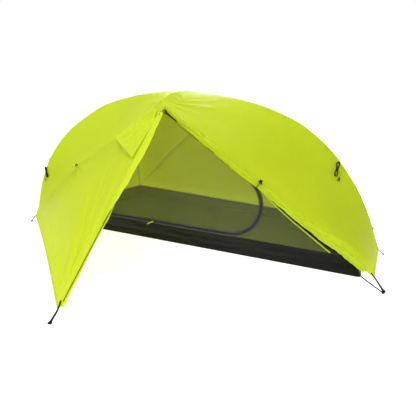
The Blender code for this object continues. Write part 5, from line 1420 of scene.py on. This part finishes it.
def besideEdge(rows, distance, lift=0.0015):
    # a line that runs beside a panel's last row, on its outer face
    line = np.array([atLength(rows[::-1, j], distance) for j in range(rows.shape[1])])
    inward = unit(rows[-2] - rows[-1])
    normals = unit(np.cross(np.gradient(line, axis=0), inward))
    normals = normals if np.sum(normals * (line - tentMiddle)) > 0 else -normals
    return line + normals * lift


def beside(rows, distance, lift=0.0018):
    # a line that runs beside a panel's first column, on its outer face
    return besideEdge(rows.swapaxes(0, 1)[::-1], distance, lift)


stitchLook = {"Spacing": 0.0048, "Length": 0.0034, "Width": 0.0006, "Material": stitchThread}
hemStitches = [besideEdge(rows, stripSet["hemStitch"]) for rows in hemmedOnFly]
ridden(grown("hemStitches", beadsAlongLine, hemStitches, stitchLook), "fly", "fly_cloth")
seamPanels = [rows.swapaxes(0, 1) for rows in (frontRight, frontLeft, rearRight, rearLeft)]
seamPanels += [frontLeft, rearLeft, rearRight, frontLeft[ridgeRows:, ::-1], rearLeft[ridgeRows:, ::-1]]
seamStitches = [beside(rows, stripSet["seamStitch"]) for rows in seamPanels]
ridden(grown("seamStitches", beadsAlongLine, seamStitches, stitchLook), "fly", "fly_cloth")
vestibuleStitches = [besideEdge(rows, stripSet["hemStitch"]) for rows in (vestibuleRows, hoodRows)]
onVestibule(grown("vestibuleStitches", beadsAlongLine, vestibuleStitches, stitchLook), "fly_cloth")
print("seams and hems ready")

# Webbing straps
strapSet = {
    "width": 0.012, "thick": 0.0012, "stakeReach": 0.080, "middleReach": 0.035, "stakeRise": 0.009,
    "apexReach": 0.040, "loop": 0.0055, "floorWidth": 0.008, "floorRise": 0.0035,
}
footStake = footCorner * vec(1, 1, 0) + unit(vec(0.55, -0.85, 0)) * strapSet["stakeReach"]
headStake = headCorner * vec(1, 1, 0) + unit(vec(-1, 0.05, 0)) * strapSet["stakeReach"]
middleStake = footHemMiddle * vec(1, 1, 0) + vec(strapSet["middleReach"], 0, 0)
apexStake = apex * vec(1, 1, 0) + unit(vec(-0.25, -1, 0)) * strapSet["apexReach"]


def strapParts(path, firstSide, lastSide, width, count=60):
    path = smoothPath(path, count)
    share = np.linspace(0, 1, len(path))[:, None]
    sides = unit(firstSide * (1 - share) + lastSide * share)
    ups = unit(np.cross(sides, np.gradient(path, axis=0)))
    return sweepParts(path, band(width, strapSet["thick"]), ups)


def eyeParts(end, way, side, width, radius):
    # the eye at a strap's end, where a peg goes through
    out = unit(np.cross(side, way))
    turns = np.linspace(-0.85 * math.pi, 0.85 * math.pi, 33)
    ring = np.array([end + way * radius * (1 + math.cos(t)) + out * radius * math.sin(t) for t in turns])
    ring = np.concatenate([[end - way * radius * 1.6], ring, [end - way * radius * 1.6]])
    ring = smoothPath(ring, 48)
    ups = unit(np.cross(np.tile(side, (len(ring), 1)), np.gradient(ring, axis=0)))
    return sweepParts(ring, band(width, strapSet["thick"]), ups)


def cornerStrap(rows, sewn, corner, stake, shift=0.0):
    normal = surfaceNormal(rows, *sewn)
    inside = surfacePoint(rows, *sewn) + normal * (strapSet["thick"] / 2 + g["cloth"] / 2 + 0.0012)
    end = stake + up * strapSet["stakeRise"]
    over = corner + normal * (strapSet["thick"] / 2 + g["cloth"] / 2 + 0.0012) + unit(end - corner) * 0.004
    way = unit(end - inside)
    sides = [unit(np.cross(normal, way)), unit(np.cross(up, way))]
    moved = sides[1] * shift
    last = end - unit(end - over) * strapSet["loop"] * 2.5
    path = [inside + moved, over + moved, (over + last) / 2 + moved, last + moved]
    return [strapParts(path, sides[0], sides[1], strapSet["width"]),
            eyeParts(last + moved, unit(last - over), sides[1], strapSet["width"], strapSet["loop"])]


flyStraps = (cornerStrap(frontRight, (0.985, 0.045), footCorner, footStake)
             + cornerStrap(rearRight, (0.985, 0.045), mirrored(footCorner), mirrored(footStake))
             + cornerStrap(frontRight, (0.985, 0.999), footHemMiddle, middleStake, -0.0084)
             + cornerStrap(headEnd, (0.985, 0.020), headCorner, headStake)
             + cornerStrap(headEnd, (0.985, 0.980), mirrored(headCorner), mirrored(headStake)))
ridden(joinedParts("flyStraps", flyStraps, blackWebbing), "fly", "webbing")
apexStrap = joinedParts("apexStrap", cornerStrap(vestibuleRows, (0.975, 0.985), apex, apexStake),
                        blackWebbing)
ridden(apexStrap, "vestibule_left", "webbing")

floorParts = []
for corner, high, stake in ((floorFoot, tubFoot, footStake),
                            (mirrored(floorFoot), mirrored(tubFoot), mirrored(footStake))):
    way = unit(stake - corner)
    start = corner + (high - corner) * 0.006 / high[2] + way * 0.0008
    end = stake + up * strapSet["floorRise"] - way * 0.012
    side = np.cross(up, way)
    floorParts += [strapParts([start, (start + end) / 2 - up * 0.001, end], side, side,
                              strapSet["floorWidth"]),
                   eyeParts(end, way, side, strapSet["floorWidth"], 0.0045)]
poleFeet = [(ridgePath[0], unit(ridgePath[0] - ridgePath[1])), (legPath[-1], unit(legPath[-1] - legPath[-2]))]
poleFeet.append((mirrored(poleFeet[1][0]), mirrored(poleFeet[1][1])))
tubEdges = [(vec(s["halfLength"], 0, 0), vec(s["halfLength"] - s["tubFootLean"], 0, s["tubFoot"])),
            (floorHead, tubHead),
            (mirrored(floorHead), mirrored(tubHead))]
grommets, grommetRadius = [], 0.0055
for (foot, way), (low, high) in zip(poleFeet, tubEdges):
    outward = unit((foot - low) * vec(1, 1, 0))
    seat = foot + way * (0.0012 + 0.0004 + strapSet["thick"] / 2)
    start = low + (high - low) * 0.010 / high[2] + outward * 0.0008
    side = np.cross(up, outward)
    floorParts.append(strapParts([start, seat - outward * 0.0074, seat + outward * 0.014], side, side, 0.020))
    turns = np.linspace(0, 2 * math.pi, 25)
    across = unit(np.cross(way, side))
    ring = np.array([seat - way * 0.0007 + grommetRadius * (math.cos(t) * side + math.sin(t) * across)
                     for t in turns])
    grommets.append(sweepParts(ring, circle(0.0012, 8), first=tuple(way)))
ridden(joinedParts("floorStraps", floorParts, blackWebbing), "inner_tent", "webbing")
ridden(joinedParts("tabGrommets", grommets, tipAlloy), "inner_tent", "pole_tip")
print("straps ready")

# Small sewn things: seam loop, pole wraps, the roll tie's tab, peak hook, tip patch and peak tabs
smallSet = {"loop": 0.010, "loopWidth": 0.012, "peakWidth": 0.020}
seamWay = unit(seamLine[int(g["rows"] * 0.56)] - seamLine[int(g["rows"] * 0.51)])
seamFace = towards(surfaceNormal(vestibuleRows, vestibuleSet["loopShare"], 0.04), doorSide)
turns = np.linspace(0, math.pi, 13)
loopLine = np.array([seamLoop + seamWay * smallSet["loop"] * 0.8 * math.cos(t)
                     + seamFace * (0.0035 + smallSet["loop"] * math.sin(t)) for t in turns])
loopSide = unit(np.cross(seamWay, seamFace))
loopUps = unit(np.cross(np.tile(loopSide, (len(loopLine), 1)), np.gradient(loopLine, axis=0)))
seamTab = joinedParts("seamLoop", [sweepParts(loopLine, band(smallSet["loopWidth"], 0.0016), loopUps)],
                      blackWebbing)
ridden(seamTab, "fly", "webbing")


def patchGrid(rows, down, across, lift, fine):
    # a sewn patch that follows a panel between two shares each way
    places = [[(a, b) for b in np.linspace(*across, fine + 1)] for a in np.linspace(*down, fine + 1)]
    return np.array([[surfacePoint(rows, *q) + surfaceNormal(rows, *q) * lift for q in line]
                     for line in places])


wrapSet = {
    "places": (0.338, 0.592, 0.684, 0.832), "half": 0.008, "across": (0.945, 0.986), "under": 0.0030,
}
wraps = [patchGrid(rows, (down - wrapSet["half"], down + wrapSet["half"]), wrapSet["across"],
                   -wrapSet["under"], 6)
         for down in wrapSet["places"] for rows in (frontRight, rearRight)]
stripObject("poleWraps", wraps, blackWebbing)
tabFace = towards(surfaceNormal(frontRight, rollSet["tie"], 0.03), doorSide)
tabMiddle = surfacePoint(frontRight, 0.512, 0.012) + tabFace * 0.0022
tabWay = unit(surfacePoint(frontRight, 0.512, 0.06) - surfacePoint(frontRight, 0.512, 0.0))
rollTab = joinedParts("rollTieTab",
                      [sweepParts(straight(tabMiddle - tabWay * 0.012, tabMiddle + tabWay * 0.014, 6),
                                  band(0.018, 0.0016), np.tile(tabFace, (7, 1)))], blackWebbing)
ridden(rollTab, "fly", "webbing")
hookSet = {
    "top": (0.981, 0.731), "low": (1.062, 0.677), "lift": 0.005, "width": 0.013, "thick": 0.0032,
    "ring": 0.0065,
}
hookLine = straight(vec(*hookSet["top"], 0), vec(*hookSet["low"], 0), 10)[:, :2]
hookParts = [sweepParts(onWall(hookLine, hookSet["lift"]), band(hookSet["width"], hookSet["thick"]),
                        np.tile(wallOut, (11, 1)),
                        scales=np.linspace(1.0, 0.45, 11)[:, None] * np.ones((1, 2)))]
hookRing = np.array([onWall(hookLine[0] + np.array([math.cos(t), math.sin(t)]) * hookSet["ring"],
                            hookSet["lift"] + 0.002)
                     for t in np.linspace(0, 2 * math.pi, 21)])
hookParts.append(sweepParts(hookRing, circle(0.0022, 8), first=tuple(wallOut)))
ridden(joinedParts("peakHook", hookParts, blackPlastic), "inner_tent", "black_plastic")
tipEdge = [flyTip + vec(-0.020, 0.008, -0.010), flyTip + vec(0.0, 0.003, 0.003),
           flyTip + vec(0.022, 0.010, -0.012)]
tipLow = [zipTop + vec(-0.036, -0.008, -0.024), zipTop + vec(-0.006, -0.010, -0.016),
          zipTop + vec(0.016, 0.006, -0.012)]
tipRows = np.array([smoothPath([a + (b - a) * t for a, b in zip(tipEdge, tipLow)], 24)
                    for t in np.linspace(0, 1, 19)])
tipPleats = np.sin(np.linspace(0, 9, 25) + 0.6)[None, :] * np.sin(math.pi * np.linspace(0, 1, 19))[:, None]
tipRows = tipRows + (tipPleats * 0.0016)[:, :, None] * vec(0, -1, 0)
tipPatch = joinedGrids("tipPatch", [tipRows], bindingCloth,
                       centre=tuple(tipRows.mean(axis=(0, 1)) + vec(0, 0.3, 0)))
thickened(tipPatch, 0.0009)
ridden(tipPatch, "fly", "fly_cloth")
peakTabs = []
for flip in (False, True):
    ends = [innerTip + vec(0.004, 0.002, 0.0), innerTip + vec(0.002, -0.010, 0.020),
            crossPoint(-0.985) + vec(0.0, -0.004, -0.010)]
    peakPath = smoothPath(ends, 12)
    peakPath = mirrored(peakPath) if flip else peakPath
    side = vec(1, 0, 0)
    ups = unit(np.cross(np.tile(side, (len(peakPath), 1)), np.gradient(peakPath, axis=0)))
    peakTabs.append(sweepParts(peakPath, band(smallSet["peakWidth"], 0.0016), ups))
ridden(joinedParts("peakTabs", peakTabs, blackWebbing), "inner_tent", "webbing")
print("small sewn things ready")

# Guylines: each is one cord from its tie through the hank to its tensioner
guySet = {
    "radius": 0.0008, "turns": 2, "layers": 4, "halfLength": 0.046, "waist": 0.0012, "step": 0.00236,
    "layerStep": 0.0022, "bulge": 0.016, "stand": 0.0022, "tieLift": 0.25, "drop": 0.052, "aside": 0.030,
    "tieLength": 0.030, "tensionerLength": 0.027, "loopPoints": 24, "leadPoint": 2, "leadRun": 0.016,
    "leadSag": 0.003, "swingGap": 0.001, "gap": 0.0004, "cloth": 0.0009,
}


def hankLine():
    # one cord in four layers that spiral in and out; X runs up the hank
    q = guySet
    turn = 2 * math.pi
    firstTurn = math.pi / 2 + turn * q["turns"]
    step = turn / q["loopPoints"]
    start = step * q["leadPoint"]
    last = firstTurn + turn * q["turns"] * (q["layers"] - 1)

    def inner(angle):
        return np.array([q["halfLength"] * math.cos(angle),
                         math.sin(angle) * (q["waist"] + q["bulge"] * math.cos(angle) ** 2)])
    points = []
    for i in range(round((last - start) / step) + 1):
        angle = start + step * i
        way = unit(inner(angle + 0.01) - inner(angle - 0.01))
        since = (angle - firstTurn) / (turn * q["turns"])
        wind = q["turns"] * (-since if since < 0 else abs((since + 1) % 2 - 1))
        plan = inner(angle) + np.array([way[1], -way[0]]) * q["step"] * wind
        layer = 0.0
        for k in range(q["layers"] - 1):
            climb = min(max((angle - firstTurn - turn * q["turns"] * k) / math.pi + 0.5, 0.0), 1.0)
            layer += climb * climb * (3 - 2 * climb)
        points.append(vec(plan[0], plan[1], q["layerStep"] * (layer - (q["layers"] - 1) / 2)))
    reach = q["radius"] * 2
    first = points[0] + unit(points[0] - points[1]) * reach
    end = points[-1] + unit(points[-1] - points[-2]) * reach
    return np.array([first] + points + [end])


hank = hankLine()


def guyline(side, tieRoot, tieAlong, tieFace, hankTop, hankLow, hankFace, hand):
    q = guySet
    tieWay = unit(tieAlong + tieFace * q["tieLift"])
    stand = q["cloth"] / 2 + strapSet["thick"] / 2 + q["gap"] * 2
    tieMiddle = tieRoot + tieFace * stand + tieWay * q["tieLength"] / 2
    hankUp = unit(hankTop - hankLow)
    hankUp = unit(hankUp - hankFace * (hankUp @ hankFace))
    halfThick = q["layerStep"] * (q["layers"] - 1) / 2 + q["radius"]
    middle = (hankTop + hankLow) / 2 + hankFace * (q["cloth"] / 2 + q["stand"] + halfThick)
    across = np.cross(hankFace, hankUp) * hand

    def placed(point):
        return middle + hankUp * point[0] + across * point[1] + hankFace * point[2]
    loops = np.array([placed(p) for p in hank])
    width = q["radius"] * 2
    leadWay = unit(loops[0] - loops[1])
    leadStart = loops[0] + leadWay * q["gap"]
    leadEnd = tieMiddle + tieWay * (q["tieLength"] / 2 + q["swingGap"])
    leadOut = leadStart + leadWay * q["leadRun"]
    lead = smoothPath([leadStart + leadWay * width, leadOut,
                       (leadOut + leadEnd) / 2 + hankFace * q["leadSag"],
                       leadEnd + tieWay * width], 24)
    tailWay = unit(loops[-1] - loops[-2])
    tailStart = loops[-1] + tailWay * q["gap"]
    top = hank[-1][2]
    tailEnd = placed((-q["drop"] + q["tensionerLength"] / 2 + q["gap"], q["aside"], top))
    bends = [placed((-down, q["aside"] * part, top)) for down, part in ((0.012, 0.42), (0.026, 0.84))]
    tail = smoothPath([tailStart + tailWay * width, *bends, tailEnd + hankUp * width], 24)
    body = f"guyline_{side}"
    route = np.concatenate([[leadEnd], lead[::-1], [leadStart], loops, [tailStart], tail, [tailEnd]])
    apart = np.linalg.norm(np.diff(route, axis=0), axis=1) > 0.0006
    route = smoothPath(route[np.concatenate([[True], apart])], 1500)
    parts = sweepParts(route, circle(q["radius"], 7), first=tuple(hankFace))
    cord = joinedParts(f"guyCord_{side}", [parts], blackCord)
    ridden(cord, body, "cord", f"{body}_lead", f"{body}_hank", f"{body}_tail")
    print("guyline", side, "length", round(float(lengths(route)[-1]), 4))


rightAlong = unit(surfacePoint(frontRight, 0.62, 1.0) - surfacePoint(frontRight, 0.58, 1.0))
rightFace = towards(unit(np.cross(rightAlong, doorSide)), footSide)
guyline("right", surfacePoint(frontRight, 0.600, 1.0), rightAlong, rightFace,
        surfacePoint(frontRight, 0.650, 0.967),
        surfacePoint(frontRight, 0.683, 0.767), surfaceNormal(frontRight, 0.650, 0.967), -1)
legRun = lengths(flyLeg)[-1]
leftRoot = atLength(flyLeg, legRun * 0.615)
leftAlong = unit(atLength(flyLeg, legRun * 0.635) - atLength(flyLeg, legRun * 0.595))
leftFace = surfaceNormal(frontLeft, 0.73, 0.9) + surfaceNormal(headEnd, 0.615, 0.1)
leftFace = unit(leftFace - leftAlong * (leftFace @ leftAlong))
guyline("left", leftRoot, leftAlong, leftFace, surfacePoint(frontLeft, 0.783, 1.0),
        surfacePoint(frontLeft, 0.783, 0.633),
        surfaceNormal(frontLeft, 0.783, 0.633), 1)

# Poles: tubes with a wider socket at each join
poleSet = {
    "radius": 0.00425, "socket": 0.00545, "socketLength": 0.030, "hubArm": 0.030, "cap": 0.00525,
}


def poleSections(path, ends, flip=False):
    lines, girths = [], []
    for i, (start, join) in enumerate(zip(ends[:-1], ends[1:])):
        last = i == len(ends) - 2
        start = start + (0.0004 if i else 0)
        stops = list(np.linspace(start, join - (0 if last else 0.004), 30))
        size = [poleSet["radius"]] * len(stops)
        if not last:
            stops += [join - 0.002, join - 0.0015, join + poleSet["socketLength"] - 0.0006,
                      join + poleSet["socketLength"]]
            size += [poleSet["socket"] - 0.0005, poleSet["socket"], poleSet["socket"],
                     poleSet["socket"] - 0.0004]
        line = atLength(path, np.array(stops))
        lines.append(mirrored(line) if flip else line)
        girths.append(size)
    return lines, girths


ridgeEnd = lengths(ridgePath)[-1] - poleSet["hubArm"]
legEnd = lengths(legPath)[-1]
crossPath = np.array([crossPoint(-1 + i / 12) for i in range(25)])
crossEnd = lengths(crossPath)[-1]
crossJoin = crossEnd / 2 - 0.018 - poleSet["socketLength"]
poleKinds = (
    ("ridgePole", ridgePath, np.linspace(0, ridgeEnd, 6), False,
     [f"ridge_pole_section_{i}" for i in range(1, 6)]),
    ("legPoleFront", legPath, np.linspace(poleSet["hubArm"], legEnd, 3), False,
     [f"leg_pole_front_section_{i}" for i in (1, 2)]),
    ("legPoleRear", legPath, np.linspace(poleSet["hubArm"], legEnd, 3), True,
     [f"leg_pole_rear_section_{i}" for i in (1, 2)]),
    ("crossPole", crossPath, np.array([0, crossJoin, crossEnd]), False,
     [f"cross_pole_section_{i}" for i in (1, 2)]),
)
for name, path, ends, flip, nodes in poleKinds:
    lines, girths = poleSections(path, ends, flip)
    pole = grown(name, tubesAlongLine, lines, {"Sides": 20, "Thickness": 1.0, "Material": poleAlloy}, girths)
    pole.data.set_sharp_from_angle(angle=math.radians(40))
    ridden(pole, "inner_tent", "pole_alloy", *nodes)
caps = [sweepParts(straight(crossPoint(k), crossPoint(k * 0.975), 2), circle(poleSet["cap"], 16))
        for k in (-1.02, 1.02)]
ridden(joinedParts("crossPoleCaps", caps, blackPlastic), "inner_tent", "black_plastic")
print("poles ready")

# Materials of the CAD pieces, by a part of the name; the first that fits is used
lookByName = (
    ("tensioner", blackPlastic), ("pole_section", poleAlloy), ("leg_pole", poleAlloy),
    ("pole_tip", tipAlloy), ("shock_cord", shockCord), ("clip", blackPlastic), ("guyline", blackCord),
    ("guy_tie", tieWebbing), ("vent_strut", blackPlastic), ("pole_hub", blackPlastic),
    ("roll_toggle", blackPlastic), ("vestibule_zip_pull", blackPlastic), ("inner_zip_pull", limeTab),
    ("zip_slider", sliderMetal),
)
for name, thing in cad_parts.items():
    look = next((found for part, found in lookByName if part in name), None)
    if look:
        thing.data.materials.clear()
        thing.data.materials.append(look)

# Floor, sky and lights
studio = {
    "floorTone": (0.60, 0.60, 0.60), "floorGlow": 0.82, "sky": 0.64, "seenSky": 1.0, "keyPower": 46.0,
    "fillPower": 24.0, "backPower": 60.0, "topPower": 50.0,
}
floorMesh = bpy.data.meshes.new("studioFloor")
floorMesh.from_pydata([(30 * math.cos(a), 30 * math.sin(a), -0.0005)
                       for a in np.linspace(0, 2 * math.pi, 64, endpoint=False)],
                      [], [list(range(64))])
studioFloor = bpy.data.objects.new("studioFloor", floorMesh)
bpy.context.scene.collection.objects.link(studioFloor)
floorMaterial, w, shader, output, place, cloth = startMaterial("studioFloor", studio["floorTone"])
wear = placedGroup(w, toneAndDust, Place=place, Scale=0.5, Contrast=0.1)
w.feed(shader.inputs["Base Color"], mixColours(w, wear["Tone"], (0.59, 0.59, 0.59), (0.61, 0.61, 0.61)))
shader.inputs["Roughness"].default_value = 0.9
shader.inputs["Emission Color"].default_value = (1, 1, 1, 1)
shader.inputs["Emission Strength"].default_value = studio["floorGlow"]
floorMesh.materials.append(floorMaterial)

sky = bpy.data.worlds.new("studioSky")
sky.use_nodes = True
skyWiring = Wiring(sky.node_tree)
skyLight = sky.node_tree.nodes["Background"]
skyLight.inputs[0].default_value = (1, 1, 1, 1)
seen = skyWiring.node("ShaderNodeLightPath").outputs["Is Camera Ray"]
strength = skyWiring.node("ShaderNodeMapRange",
                          {"Value": seen, "To Min": studio["sky"], "To Max": studio["seenSky"]})
skyWiring.feed(skyLight.inputs[1], strength.outputs[0])
bpy.context.scene.world = sky
bpy.context.scene.view_settings.view_transform = "Standard"


def softLight(name, place, target, size, power):
    data = bpy.data.lights.new(name, "AREA")
    data.shape = "DISK"
    data.size = size
    data.energy = power
    made = bpy.data.objects.new(name, data)
    made.location = place
    made.rotation_euler = (Vector(target) - Vector(place)).to_track_quat("-Z", "Y").to_euler()
    bpy.context.scene.collection.objects.link(made)


softLight("keyLight", (-2.2, -2.6, 3.6), (0, -0.2, 0.4), 2.5, studio["keyPower"])
softLight("fillLight", (3.6, -2.4, 1.9), (0, -0.4, 0.4), 1.6, studio["fillPower"])
softLight("backLight", (-1.5, 2.7, 3.0), (-0.2, 0.1, 0.5), 2.5, studio["backPower"])
softLight("topLight", (0.0, -0.7, 3.6), (0.0, -0.1, 0.8), 1.3, studio["topPower"])
